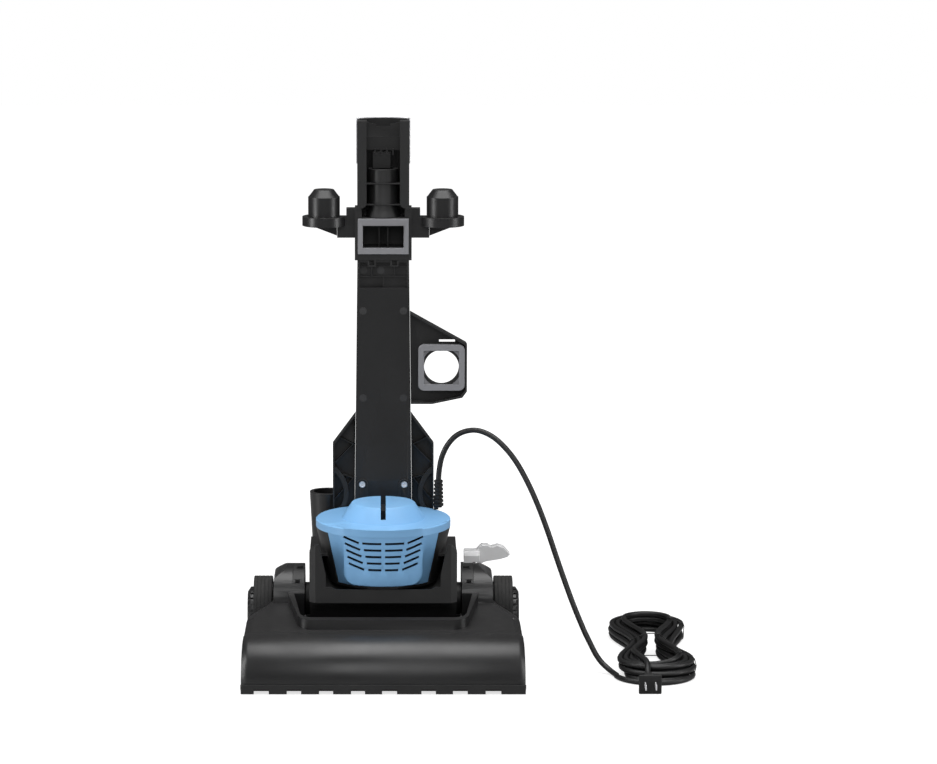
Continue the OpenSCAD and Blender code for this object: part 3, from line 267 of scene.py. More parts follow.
@dataclass(frozen=True)
class Finish:
    """A procedural finish of one material.

    Attributes:
        name: the material's name.
        slot: the record's material slot that it stands for.
        tone: the main colour.
        shade: the colour that it drifts to.
        roughness: the middle of its roughness.
        texture: the kind of grain.
        relief: the grain's depth in metres.
        pits: how much of the grain is pits, from 0 to 1.
        specular: the specular level.
        metallic: 1 for bare metal.
        dust: how much dust lies on faces that look up.
        drift_scale: how fine the drift between tone and shade is.
        uneven: how far the roughness drifts below and above its middle.
    """

    name: str
    slot: str
    tone: Colour
    shade: Colour
    roughness: float = 0.5
    texture: Texture = Texture.SPARK
    relief: float = 0.00003
    pits: float = 0.3
    specular: float = 0.4
    metallic: float = 0.0
    dust: float = 0.0
    drift_scale: float = 14.0
    uneven: tuple[float, float] = (0.05, 0.06)

    def material(self) -> bpy.types.Material:
        """Make the finish's material the first time it is asked for.

        Returns:
            The material.
        """
        found = bpy.data.materials.get(self.name)
        if found:
            return found
        made = bpy.data.materials.new(self.name)
        made.use_nodes = True
        made.diffuse_color = (*self.tone, 1.0)
        tree = made.node_tree
        link = tree.links.new
        shader = tree.nodes["Principled BSDF"]
        shader.inputs["Metallic"].default_value = self.metallic
        shader.inputs["Specular IOR Level"].default_value = self.specular
        drift = self._group(tree, Effects.drift(), Scale=self.drift_scale)
        drift.inputs["Tone"].default_value = (*self.tone, 1.0)
        drift.inputs["Shade"].default_value = (*self.shade, 1.0)
        grain = self._group(tree, Effects.grain(), Scale=self.texture.value, Pits=self.pits)
        bump = add_node(tree, "Bump", {"Distance": self.relief, "Strength": 1.0})
        link(grain.outputs["Height"], bump.inputs["Height"])
        link(bump.outputs["Normal"], shader.inputs["Normal"])
        less, more = self.uneven
        rough = add_node(tree, "MapRange", {"To Min": self.roughness - less, "To Max": self.roughness + more})
        link(drift.outputs["Amount"], rough.inputs["Value"])
        link(rough.outputs["Result"], shader.inputs["Roughness"])
        if self.dust:
            dust = self._group(tree, Effects.settled_dust(), Amount=self.dust)
            film = add_node(tree, "Mix", data_type="RGBA")
            film.inputs[7].default_value = (*DUST_TONE, 1.0)
            link(dust.outputs["Mask"], film.inputs["Factor"])
            link(drift.outputs["Color"], film.inputs[6])
            link(film.outputs[2], shader.inputs["Base Color"])
        else:
            link(drift.outputs["Color"], shader.inputs["Base Color"])
        return made

    @staticmethod
    def _group(tree: bpy.types.NodeTree, group: bpy.types.NodeTree, **values: float) -> bpy.types.Node:
        """Place a shared effect in a material.

        Args:
            tree: the material's nodes.
            group: the effect.
            values: the effect's own inputs by name.

        Returns:
            The placed node.
        """
        node = add_node(tree, "Group", node_tree=group)
        for label, value in values.items():
            node.inputs[label].default_value = value
        return node


SATIN_BLACK = Finish("satin_black_shell", "shell_black", (0.0105, 0.0105, 0.011), (0.0075, 0.0075, 0.008),
                     roughness=0.36, texture=Texture.SATIN, relief=0.000012, specular=0.5, dust=0.05)
MATTE_BLACK = Finish("matte_black_frame", "frame_black", (0.0135, 0.0135, 0.0138), (0.009, 0.009, 0.0095),
                     roughness=0.5, texture=Texture.SPARK, relief=0.00002, specular=0.42, dust=0.04)
LIGHT_BLUE = Finish("light_blue_cap", "blue_plastic", (0.20, 0.42, 0.69), (0.185, 0.39, 0.65),
                    roughness=0.4, texture=Texture.SATIN, relief=0.00001, specular=0.35)
PEDAL_GREY = Finish("pedal_grey", "grey_plastic", (0.66, 0.66, 0.665), (0.6, 0.6, 0.605), roughness=0.42,
                    texture=Texture.SATIN, relief=0.000012)
HOSE_GREY = Finish("hose_grey", "hose_grey", (0.56, 0.57, 0.59), (0.5, 0.51, 0.53), roughness=0.5,
                   texture=Texture.SATIN, relief=0.00002)
SEAL_FOAM = Finish("seal_foam", "seal_foam", (0.042, 0.042, 0.043), (0.014, 0.014, 0.0145), roughness=0.85,
                   texture=Texture.FOAM, relief=0.0003, pits=0.6, specular=0.25, drift_scale=420.0)
BLACK_RUBBER = Finish("black_rubber", "rubber", (0.009, 0.009, 0.0092), (0.006, 0.006, 0.0062), roughness=0.6,
                      texture=Texture.SPARK, relief=0.00003, specular=0.35)
TYRE_RUBBER = Finish("tyre_rubber", "tyre", (0.012, 0.012, 0.012), (0.008, 0.008, 0.008), roughness=0.72,
                     texture=Texture.FOAM, relief=0.00006, specular=0.3, dust=0.1)
PLAIN_STEEL = Finish("plain_steel", "steel", (0.5, 0.5, 0.51), (0.4, 0.4, 0.41), roughness=0.34,
                     relief=0.00001, metallic=1.0, drift_scale=60.0)
BRIGHT_TRIM = Finish("bright_trim", "silver", (0.78, 0.78, 0.8), (0.7, 0.7, 0.72), roughness=0.3,
                     texture=Texture.SATIN, relief=0.000004, metallic=0.45)
COPPER = Finish("copper_bars", "copper", (0.62, 0.29, 0.14), (0.45, 0.2, 0.1), roughness=0.35, metallic=1.0)
FILTER_FELT = Finish("filter_felt", "filter", (0.06, 0.06, 0.062), (0.04, 0.04, 0.042), roughness=0.95,
                     texture=Texture.FOAM, relief=0.0004, pits=0.5, specular=0.1, drift_scale=120.0)
BRISTLE_NYLON = Finish("bristle_nylon", "bristle", (0.02, 0.02, 0.021), (0.012, 0.012, 0.012), roughness=0.45)
SWITCH_RED = Finish("switch_red", "switch_red", (0.45, 0.02, 0.02), (0.38, 0.015, 0.015), roughness=0.3,
                    texture=Texture.SATIN, relief=0.000008)
CORD_SHEATH = Finish("cord_sheath", "cord", (0.0085, 0.0085, 0.0088), (0.006, 0.006, 0.0062), roughness=0.46,
                     texture=Texture.SHEATH, relief=0.000015, specular=0.45, drift_scale=40.0)
FINISHES = (SATIN_BLACK, MATTE_BLACK, LIGHT_BLUE, PEDAL_GREY, HOSE_GREY, SEAL_FOAM, BLACK_RUBBER, TYRE_RUBBER,
            PLAIN_STEEL, BRIGHT_TRIM, COPPER, FILTER_FELT, BRISTLE_NYLON, SWITCH_RED, CORD_SHEATH)
BY_SLOT = {finish.slot: finish for finish in FINISHES}
MARK_GREY = Finish("cover_mark", "frame_black", (0.03, 0.03, 0.031), (0.024, 0.024, 0.025), roughness=0.55)


# ---- Making pieces ----


def add_piece(
    name: str, mesh: bpy.types.Mesh, finish: Finish, body: Body | None, stands_for: Iterable[str] = (),
) -> bpy.types.Object:
    """Put a finished mesh into the scene as a piece of the machine.

    Args:
        name: the piece's name.
        mesh: its mesh, in the frame's own place.
        finish: the finish it is dressed in.
        body: the body it rides on, or None to leave it on no body.
        stands_for: the frame's nodes that it replaces.

    Returns:
        The new object.
    """
    piece = bpy.data.objects.new(name, mesh)
    bpy.context.scene.collection.objects.link(piece)
    mesh.materials.clear()
    mesh.materials.append(finish.material())
    if body is not None:
        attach(piece, body.value)
    for node in stands_for:
        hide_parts(node)
    LOG.info("%s: %d faces", name, len(mesh.polygons))
    return piece


def smooth_by_angle(mesh: bpy.types.Mesh, degrees: float) -> None:
    """Shade a mesh smooth and keep its corners sharper than an angle."""
    mesh.polygons.foreach_set("use_smooth", [True] * len(mesh.polygons))
    mesh.set_sharp_from_angle(angle=math.radians(degrees))


def finish_mesh(shape: bmesh.types.BMesh, name: str, degrees: float = 32.0) -> bpy.types.Mesh:
    """Close a bmesh into a mesh with outward faces and smooth shading.

    Args:
        shape: the working bmesh, freed here.
        name: the mesh's name.
        degrees: corners sharper than this stay sharp.

    Returns:
        The mesh.
    """
    bmesh.ops.remove_doubles(shape, verts=shape.verts, dist=1e-6)
    bmesh.ops.recalc_face_normals(shape, faces=shape.faces)
    mesh = bpy.data.meshes.new(name)
    shape.to_mesh(mesh)
    shape.free()
    smooth_by_angle(mesh, degrees)
    return mesh


@dataclass
class Moulding:
    """A hard part of the frame with the small round edges that its mould gives it.

    Attributes:
        node: the frame's node.
        body: the body it rides on.
        finish: its finish.
        edge: radius of its edges.
        steps: faces across an edge.
        corner: corners sharper than this, in degrees, are rounded.
        merge: corners nearer than this are one corner.
        flat: faces that turn less than this, in degrees, are one face.
    """

    node: str
    body: Body
    finish: Finish
    edge: float
    steps: int = 2
    corner: float = 30.0
    merge: float = 2e-6
    flat: float = 0.4

    def build(self, nodes: dict[str, bpy.types.Object]) -> None:
        """Copy the node's mesh, merge it into clean faces and round its edges.

        Args:
            nodes: the frame's nodes by name.
        """
        shape = bmesh.new()
        shape.from_mesh(nodes[self.node].data)
        bmesh.ops.remove_doubles(shape, verts=shape.verts, dist=self.merge)
        flat = math.radians(self.flat)
        bmesh.ops.dissolve_limit(shape, angle_limit=flat, verts=shape.verts, edges=shape.edges)
        mesh = bpy.data.meshes.new(f"{self.node}_moulding")
        shape.to_mesh(mesh)
        shape.free()
        smooth_by_angle(mesh, self.corner)
        piece = add_piece(f"{self.node}_moulding", mesh, self.finish, self.body, [self.node])
        rounded = piece.modifiers.new("round_edges", "BEVEL")
        rounded.width = self.edge
        rounded.segments = self.steps
        rounded.limit_method = "ANGLE"
        rounded.angle_limit = math.radians(self.corner)
        rounded.miter_outer = "MITER_ARC"
        rounded.harden_normals = True


def spun(
    name: str, profile: Sequence[tuple[float, float]], centre: Point, axis: Point, steps: int,
) -> bpy.types.Mesh:
    """A turned shape.

    Args:
        name: the mesh's name.
        profile: closed outline as (radius, distance along the axis).
        centre: where the axis distance is 0.
        axis: the axis of the turning.
        steps: faces round the axis.

    Returns:
        The mesh, closed and facing outwards.
    """
    along = Vector(axis).normalized()
    side = along.orthogonal().normalized()
    shape = bmesh.new()
    ring = [shape.verts.new(Vector(centre) + side * r + along * h) for r, h in profile]
    edges = [shape.edges.new((ring[i], ring[(i + 1) % len(ring)])) for i in range(len(ring))]
    bmesh.ops.spin(shape, geom=ring + edges, cent=Vector(centre), axis=along, angle=math.tau, steps=steps,
                   use_merge=True, use_duplicate=False)
    return finish_mesh(shape, name)


def tube_along(
    name: str, line: Sequence[Vector], radius: float, closed: bool = False, sides: int = 3,
) -> bpy.types.Mesh:
    """A round tube along a line of points.

    Args:
        name: the mesh's name.
        line: its centre points, close enough together for its bends.
        radius: the tube's radius.
        closed: whether it joins up with itself.
        sides: the bevel's resolution; 3 gives a tube of 10 sides.

    Returns:
        The mesh.
    """
    curve = bpy.data.curves.new(name, "CURVE")
    curve.dimensions = "3D"
    curve.bevel_depth = radius
    curve.bevel_resolution = sides
    curve.use_fill_caps = not closed
    spline = curve.splines.new("POLY")
    spline.points.add(len(line) - 1)
    for point, place in zip(spline.points, line):
        point.co = (*place, 1.0)
    spline.use_cyclic_u = closed
    holder = bpy.data.objects.new(name, curve)
    mesh = bpy.data.meshes.new_from_object(holder)
    bpy.data.objects.remove(holder)
    bpy.data.curves.remove(curve)
    mesh.name = name
    smooth_by_angle(mesh, 60.0)
    return mesh


def box_in(shape: bmesh.types.BMesh, low: Point, high: Point, round_by: float, steps: int = 3) -> list:
    """Add a box with rounded edges to a bmesh.

    Args:
        shape: the bmesh to add to.
        low: the lowest corner.
        high: the highest corner.
        round_by: radius of every edge.
        steps: faces across an edge.

    Returns:
        The box's vertices before its edges are rounded.
    """
    middle = (Vector(low) + Vector(high)) / 2
    size = Vector(high) - Vector(low)
    place = Matrix.Translation(middle) @ Matrix.Diagonal((*size, 1.0))
    verts = bmesh.ops.create_cube(shape, size=1.0, matrix=place)["verts"]
    if round_by:
        edges = list({edge for vert in verts for edge in vert.link_edges})
        bmesh.ops.bevel(shape, geom=edges, offset=round_by, segments=steps, profile=0.5, affect="EDGES",
                        material=-1, clamp_overlap=True)
    return verts


# ---- The machine's sub-assemblies ----


@dataclass
class Mouldings:
    """All hard mouldings whose shape comes from the frame, with the finish and edge of each."""

    foot: tuple = (
        ("foot_shell", SATIN_BLACK, 0.0012), ("base_frame", MATTE_BLACK, 0.0005),
        ("sole_plate", MATTE_BLACK, 0.0005), ("front_comb", MATTE_BLACK, 0.0006),
        ("pivot_caps", MATTE_BLACK, 0.0006), ("suction_duct", MATTE_BLACK, 0.0008),
        ("brush_bearings", MATTE_BLACK, 0.0006), ("sole_screws", PLAIN_STEEL, 0.0003),
        ("drive_belt", BLACK_RUBBER, 0.0003), ("plug_blades", BRIGHT_TRIM, 0.0003),
    )
    upright: tuple = (
        ("motor_housing", MATTE_BLACK, 0.001), ("trunnion_left", MATTE_BLACK, 0.0008),
        ("trunnion_right", MATTE_BLACK, 0.0008), ("filter_cap", LIGHT_BLUE, 0.0009),
        ("spine_lower", MATTE_BLACK, 0.0006), ("duct_cover", SATIN_BLACK, 0.0006),
        ("spine_upper", MATTE_BLACK, 0.0007), ("port_gasket", SEAL_FOAM, 0.0006),
        ("rim_trim", BRIGHT_TRIM, 0.0003), ("handle_tube", MATTE_BLACK, 0.0008),
        ("tool_posts", SATIN_BLACK, 0.001), ("hose_bracket", MATTE_BLACK, 0.0006),
        ("port_seal", SEAL_FOAM, 0.0009), ("wing_left", MATTE_BLACK, 0.0004),
        ("wing_right", MATTE_BLACK, 0.0004), ("hose_pipe", SATIN_BLACK, 0.0006),
        ("spine_screws", BRIGHT_TRIM, 0.0003), ("strain_relief", BLACK_RUBBER, 0.0005),
        ("cap_latch", MATTE_BLACK, 0.0005), ("power_switch", SWITCH_RED, 0.0006),
        ("release_pedal", PEDAL_GREY, 0.0009), ("brush_core", MATTE_BLACK, 0.0005),
        ("wheel_left", SATIN_BLACK, 0.0007), ("wheel_right", SATIN_BLACK, 0.0007),
    )

    def build(self, frame: dict) -> None:
        """Round the edges of every moulding and dress it.

        Args:
            frame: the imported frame.
        """
        bodies = frame["record"]["behaviour"]["bodies"]
        rides_on = {node: body for body, held in bodies.items() for node in held}
        for node, finish, edge in self.foot + self.upright:
            Moulding(node, Body(rides_on[node]), finish, edge).build(frame["nodes"])


@dataclass
class LowerHose:
    """The ribbed hose between the duct's spigot and the upright's pipe.

    Attributes:
        wall: how thick the hose is over a rib.
        rib: how far a rib stands out.
        pitch: from one rib to the next.
        outline: shares of the pitch, each with 0 in a groove or 1 on a rib.
        low_grip: length at the low end that is held by the foot; not used.
        high_grip: length at the high end that is held by the upright; not used.
        faces: faces round the hose.
    """

    wall: float = 0.0016
    rib: float = 0.001
    pitch: float = 0.0042
    outline: tuple = ((0.0, 0), (0.3, 0), (0.5, 1), (0.8, 1))
    low_grip: float = 0.008
    high_grip: float = 0.006
    faces: int = 40

    def build(self) -> None:
        """Turn the ribs of the hose."""
        near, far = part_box("lower_hose")
        middle = ((near[0] + far[0]) / 2, (near[1] + far[1]) / 2)
        crest = (far[0] - near[0]) / 2
        root, bore = crest - self.rib, crest - self.wall
        low, high = near[2], far[2]
        turns = int((high - low) / self.pitch)
        outer = []
        for turn in range(turns):
            start = low + turn * self.pitch
            for share, on_rib in self.outline:
                outer.append((crest if on_rib else root, start + share * self.pitch))
        outer.append((root, high))
        inner = [(bore, height) for _, height in outer[::-len(self.outline)]] + [(bore, low)]
        mesh = spun("lower_hose_ribbed", outer + inner, (*middle, 0.0), (0, 0, 1), self.faces)
        piece = add_piece("lower_hose_ribbed", mesh, HOSE_GREY, None, ["lower_hose"])
        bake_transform(piece)


@dataclass
class Tyre:
    """A rear tyre with rounded shoulders and a faint tread.

    Attributes:
        side: -1 for the left tyre, 1 for the right.
        thick: how thick the tyre is over its wheel.
        shoulder: radius of its shoulders.
        groove: depth of its tread lines.
        lines: how many tread lines it has.
        line_half: half of a tread line's width at its top.
        line_floor: half of its width at its bottom.
        faces: faces round the tyre.
    """

    side: int
    thick: float = 0.0035
    shoulder: float = 0.0015
    groove: float = 0.0003
    lines: int = 4
    line_half: float = 0.0005
    line_floor: float = 0.0002
    faces: int = 96

    def build(self) -> None:
        """Turn the tyre with its tread lines."""
        name, body = ("right", Body.WHEEL_RIGHT) if self.side > 0 else ("left", Body.WHEEL_LEFT)
        low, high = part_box(f"tyre_{name}")
        w, top = high[0] - low[0], (high[2] - low[2]) / 2
        centre = ((low[1] + high[1]) / 2, (low[2] + high[2]) / 2)
        bend = [(top - self.shoulder * (1 - math.sin(a)), self.shoulder * (1 - math.cos(a)))
                for a in (math.radians(18 * k) for k in range(6))]
        across = [(top - self.thick, 0.0)] + bend
        for band in range(1, self.lines + 1):
            at = band * w / (self.lines + 1)
            across += [(top, at - self.line_half), (top - self.groove, at - self.line_floor),
                       (top - self.groove, at + self.line_floor), (top, at + self.line_half)]
        across += [(radius, w - along) for radius, along in reversed(bend)] + [(top - self.thick, w)]
        start = low[0] if self.side > 0 else high[0]
        mesh = spun(f"tyre_{name}_tread", across, (start, *centre), (self.side, 0, 0), self.faces)
        add_piece(f"tyre_{name}_tread", mesh, TYRE_RUBBER, body, [f"tyre_{name}"])


@dataclass
class BristleStrips:
    """Two rows of nylon tufts wound round the brush roll in short strips.

    Attributes:
        axis: the roll's axis, as Y and Z.
        start: X of the first strip.
        strips: how many strips a row has.
        step: from one strip to the next.
        gap: the gap between two strips.
        first_turn: how far the first strip is turned, in degrees.
        turn: how far each strip is turned past the one before, in degrees.
        root: radius that a tuft stands on.
        tip: radius that a tuft reaches.
        tufts: how many tufts a strip has in each of its two lanes.
        lane: how far each lane is from the strip's middle.
        thin: a tuft's radius at its root.
        spread: a tuft's radius at its tip.
        sway: how far a tuft may lean along the roll, in degrees.
        splay: how far a tuft may lean out of its lane, in degrees.
        worn: the shares of its full length that a tuft may have.
        seed: where the draws of lean and length start.
    """

    axis: tuple[float, float] = (-0.100, 0.0295)
    start: float = -0.140
    strips: int = 7
    step: float = 0.258 / 7
    gap: float = 0.002
    first_turn: float = 20.0
    turn: float = 17.0
    root: float = 0.0145
    tip: float = 0.0285
    tufts: int = 11
    lane: float = 0.0011
    thin: float = 0.0008
    spread: float = 0.00125
    sway: float = 5.0
    splay: float = 3.0
    worn: tuple[float, float] = (0.93, 0.99)
    seed: int = 7

    def build(self) -> None:
        """Stand the tufts in their strips, splayed a little at the tips."""
        draw = random.Random(self.seed)
        shape = bmesh.new()
        apart = (self.step - self.gap) / self.tufts
        for row in (0.0, 180.0):
            for strip in range(self.strips):
                turned = math.radians(row + self.first_turn + strip * self.turn)
                for tuft in range(self.tufts):
                    x = self.start + strip * self.step + (tuft + 0.5) * apart
                    for side in (-1, 1):
                        self._tuft(shape, x, turned, side, draw)
        mesh = finish_mesh(shape, "bristle_tufts", 50.0)
        add_piece("bristle_tufts", mesh, BRISTLE_NYLON, Body.BRUSH, ["bristles"])

    def _tuft(
        self, shape: bmesh.types.BMesh, x: float, turned: float, side: int, draw: random.Random,
    ) -> None:
        """Add one splayed tuft.

        Args:
            shape: the tufts so far.
            x: its place along the roll.
            turned: its place round the roll, in radians.
            side: -1 or 1 for its lane.
            draw: the source of its lean and length.
        """
        long = self.tip - self.root
        lean = Matrix.Rotation(math.radians(draw.uniform(-self.sway, self.sway)), 4, "Y")
        lean = lean @ Matrix.Rotation(math.radians(side * draw.uniform(0, self.splay)), 4, "X")
        place = (Matrix.Translation((x, *self.axis)) @ Matrix.Rotation(turned, 4, "X")
                 @ Matrix.Translation((0, side * self.lane, self.root)) @ lean
                 @ Matrix.Translation((0, 0, long / 2)))
        bmesh.ops.create_cone(shape, cap_ends=True, segments=7, radius1=self.thin, radius2=self.spread,
                              depth=long * draw.uniform(*self.worn), matrix=place)


@dataclass
class PedalSpring:
    """The coil spring under the release pedal.

    Attributes:
        wire: radius of its wire.
        turns: how many turns it has.
        steps: points a turn.
    """

    wire: float = 0.0005
    turns: int = 7
    steps: int = 20

    def build(self) -> None:
        """Wind the spring's wire."""
        near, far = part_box("pedal_spring")
        middle = ((near[0] + far[0]) / 2, (near[1] + far[1]) / 2)
        radius = (far[0] - near[0]) / 2 - self.wire
        count = self.turns * self.steps
        line = []
        for step in range(count + 1):
            share = step / count
            angle = share * self.turns * math.tau
            rise = near[2] + self.wire + share * (far[2] - near[2] - 2 * self.wire)
            around = (radius * math.cos(angle), radius * math.sin(angle))
            line.append(Vector((middle[0] + around[0], middle[1] + around[1], rise)))
        mesh = tube_along("pedal_spring_coil", line, self.wire, sides=2)
        add_piece("pedal_spring_coil", mesh, PLAIN_STEEL, Body.FOOT, ["pedal_spring"])


@dataclass
class CoverMarks:
    """Small round ejector marks on the duct cover and on the spine beside it.

    Attributes:
        radius: a mark's radius.
        thick: how thick a mark is.
        proud: how far a mark stands out of its face.
        spots: the middle of each mark on its face.
    """

    radius: float = 0.0048
    thick: float = 0.0005
    proud: float = 0.0003
    spots: tuple = ((-0.0255, 0.0875, 0.4396), (0.0255, 0.0875, 0.4396), (-0.0255, 0.0875, 0.3282),
                    (0.0255, 0.0875, 0.3282), (-0.025, 0.094, 0.4903), (-0.0032, 0.094, 0.4903))

    def build(self) -> None:
        """Set the marks a hair proud of their faces."""
        shape = bmesh.new()
        for x, face, z in self.spots:
            middle = face + self.thick / 2 - self.proud
            place = Matrix.Translation((x, middle, z)) @ Matrix.Rotation(math.radians(90), 4, "X")
            bmesh.ops.create_cone(shape, cap_ends=True, segments=28, radius1=self.radius, radius2=self.radius,
                                  depth=self.thick, matrix=place)
        add_piece("cover_marks", finish_mesh(shape, "cover_marks"), MARK_GREY, Body.UPRIGHT)


def smooth_line(points: Sequence[Point], steps: int) -> list[Vector]:
    """A smooth run through chosen points.

    Args:
        points: the chosen points.
        steps: how many short steps each gap is cut into.

    Returns:
        The line's points, the last chosen one included.
    """
    chosen = [Vector(p) for p in points]
    line = []
    last = len(chosen) - 1
    for i in range(last):
        before, a, b, after = chosen[max(i - 1, 0)], chosen[i], chosen[i + 1], chosen[min(i + 2, last)]
        for k in range(steps):
            t = k / steps
            line.append(0.5 * (2 * a + (b - before) * t + (2 * before - 5 * a + 4 * b - after) * t * t
                               + (3 * a - before - 3 * b + after) * t ** 3))
    return line + [chosen[-1]]


def eased(share: float) -> float:
    """A share from 0 to 1 with a soft start and end."""
    share = min(max(share, 0.0), 1.0)
    return share * share * (3 - 2 * share)


def mixed(a: float, b: float, share: float) -> float:
    """The value that lies a share of the way from a to b."""
    return a + (b - a) * share


@dataclass(frozen=True)
class Turn:
    """One turn of the hank and the move to the next one.

    Attributes:
        nest: its nest, 0 for the outermost.
        layer: its layer, 0 for the one on the floor.
        far_layer: the layer whose far end it follows.
        move: the phases between which the cord passes to the next turn's nest and layer.
    """

    nest: int
    layer: int
    far_layer: int
    move: tuple[float, float]


@dataclass
class PowerCord:
    """The whole power cord: its lead from the strain relief, its tied hank and its plug end.

    Attributes:
        lead: the lead's chosen points, in millimetres.
        landing: how far out in X the lead has stopped following the upright, in millimetres; not used.
        middle: the hank's middle on the floor, in metres.
        end_radius: outer radius of the hank's round ends.
        waist: half width of the hank at its tie.
        reach: distance from the middle to the centre of each round end.
        nests: inset of each nested turn from the hank's outline.
        layers: heights of the turns' middles.
        near_slack: how much shorter each layer is at the near end.
        far_slack: how much shorter each layer is at the far end.
        sways: how far each layer strays sideways, and where it starts to.
        turns: the turns in the order they are wound.
        last_phase: the phase at which the last turn gives way to the last strand.
        swing_in: how far outside the first turn the lead arrives.
        swing_phase: the phase by which it has swung in.
        join: how far past the lead's end the hank takes over.
        steps: points on each leg of a turn.
        strand: the last strand's points to the plug, in millimetres from the middle.
    """

    lead: tuple = (
        (70, 75, 225.3), (71, 75, 238), (74, 74, 254), (81, 72, 270), (92, 69, 283), (106, 65, 290),
        (121, 60, 291), (137, 54, 285), (152, 48, 273), (167, 41, 255), (181, 33, 231), (194, 25, 203),
        (206, 17, 172), (217, 9, 140), (228, 0, 109), (239, -9, 80), (250.1, -17.1, 53.8),
        (255, -20.6, 43.5), (260.2, -24.6, 33.5), (265.6, -28, 23.3), (272.3, -31.6, 14.1),
        (279.9, -38.1, 7.7), (286.4, -47.4, 4.2), (290.5, -58.5, 3.5),
    )
    landing: float = 239.0
    diameter: float = 0.007
    middle: tuple[float, float] = (0.341, 0.060)
    end_radius: float = 0.0485
    waist: float = 0.028
    reach: float = 0.1125
    nests: tuple = (0.0037, 0.0113, 0.0189)
    layers: tuple = (0.0036, 0.0107, 0.0178, 0.0249)
    near_slack: tuple = (0.0, 0.011, 0.0205, 0.0215)
    far_slack: tuple = (0.0, 0.005, 0.0085, 0.0095)
    sways: tuple = ((0.0, 0.0), (0.0012, 1.1), (0.0015, 3.3), (0.0015, 3.3))
    turns: tuple = (
        Turn(0, 0, 0, (3.15, 3.85)), Turn(1, 0, 0, (3.15, 3.85)), Turn(2, 0, 1, (2.6, 3.15)),
        Turn(2, 1, 1, (2.0, 2.6)), Turn(1, 1, 1, (2.0, 2.6)), Turn(0, 1, 2, (1.5, 2.0)),
        Turn(0, 2, 2, (1.0, 1.5)), Turn(1, 2, 2, (1.0, 1.5)), Turn(2, 2, 3, (0.3, 1.0)),
        Turn(2, 3, 3, (0.0, 1.0)),
    )
    last_phase: float = 3.9
    swing_in: float = 0.0075
    swing_phase: float = 0.9
    join: float = 0.004
    steps: tuple[int, int, int, int] = (30, 46, 30, 46)
    strand: tuple = (
        (-26.5, -80.1, 24.9), (-24.8, -88.9, 24.9), (-22.7, -97.7, 24.9), (-20.4, -106.4, 24.9),
        (-18.1, -115.1, 24.8), (-16.0, -123.9, 25.0), (-14.6, -132.7, 25.1), (-14.0, -141.6, 23.9),
        (-14.0, -149.9, 20.3), (-14.0, -157.6, 15.6), (-14.0, -166.0, 12.7), (-14.0, -172.0, 12.0),
    )

    def _on_turn(
        self, phase: float, inset: float, turn: Turn, after: Turn, move: float,
    ) -> tuple[float, float]:
        """The place on one turn: near bend, right side, far bend, left side.

        Args:
            phase: the leg of the turn and how far along it.
            inset: how far inside the hank's outline.
            turn: the turn it lies on.
            after: the turn that follows.
            move: how far it has passed to the next turn.

        Returns:
            x and y from the hank's middle.
        """
        near_y = self.near_slack[turn.layer] - self.reach
        far_y = self.reach - self.far_slack[turn.far_layer]
        after_y = self.near_slack[after.layer] - self.reach
        radius = self.end_radius - inset
        leg, part = int(phase), phase - int(phase)
        if leg in (0, 2):
            angle = math.pi * (part + (leg == 0))
            return radius * math.cos(angle), (near_y if leg == 0 else far_y) + radius * math.sin(angle)
        y = mixed(near_y, far_y, part) if leg == 1 else mixed(far_y, after_y, part)
        near = mixed(self.near_slack[turn.layer], self.near_slack[after.layer], move) - self.reach
        far = self.reach - mixed(self.far_slack[turn.layer], self.far_slack[after.layer], move)
        share = min(max((y - near) / (far - near), 0.0), 1.0)
        half = self.waist + (self.end_radius - self.waist) * (1 + math.cos(math.tau * share)) / 2 - inset
        return (half if leg == 1 else -half), y

    def hank(self) -> list[Vector]:
        """Lay out every turn of the hank as one line.

        Returns:
            The line's points.
        """
        line = []
        phases = [leg + k / steps for leg, steps in enumerate(self.steps) for k in range(steps)]
        last = len(self.turns) - 2
        for number, (turn, after) in enumerate(zip(self.turns, self.turns[1:])):
            for phase in phases:
                if number == last and phase > self.last_phase:
                    break
                move = eased((phase - turn.move[0]) / (turn.move[1] - turn.move[0]))
                inset = mixed(self.nests[turn.nest], self.nests[after.nest], move)
                for layer, weight in ((turn.layer, 1 - move), (after.layer, move)):
                    wide, start = self.sways[layer]
                    inset += weight * wide * math.sin(math.pi * phase + start)
                if number == 0:
                    inset -= self.swing_in * eased(1 - phase / self.swing_phase)
                x, y = self._on_turn(phase, inset, turn, after, move)
                height = mixed(self.layers[turn.layer], self.layers[after.layer], move)
                line.append(Vector((self.middle[0] + x, self.middle[1] + y, height)))
        return line

    def build(self) -> None:
        """Lay the cord, tie it and fit its plug."""
        mx, my = self.middle
        lead = smooth_line([Vector(p) * MM for p in self.lead], 5)
        hank = self.hank()
        first = next(i for i, point in enumerate(hank) if point.y < lead[-1].y - self.join)
        end = [Vector((mx, my, 0)) + Vector(p) * MM for p in self.strand]
        run = smooth_line([hank[-1]] + end, 2)[1:]
        line = lead + hank[first:] + run
        mesh = tube_along("power_cord", line, self.diameter / 2)
        cord = add_piece("power_cord", mesh, CORD_SHEATH, None, ["cord_tube", "cord_hank"])
        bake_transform(cord)
        Ties(self.middle, self.diameter / 2).build(line)
        plug = Plug().build()


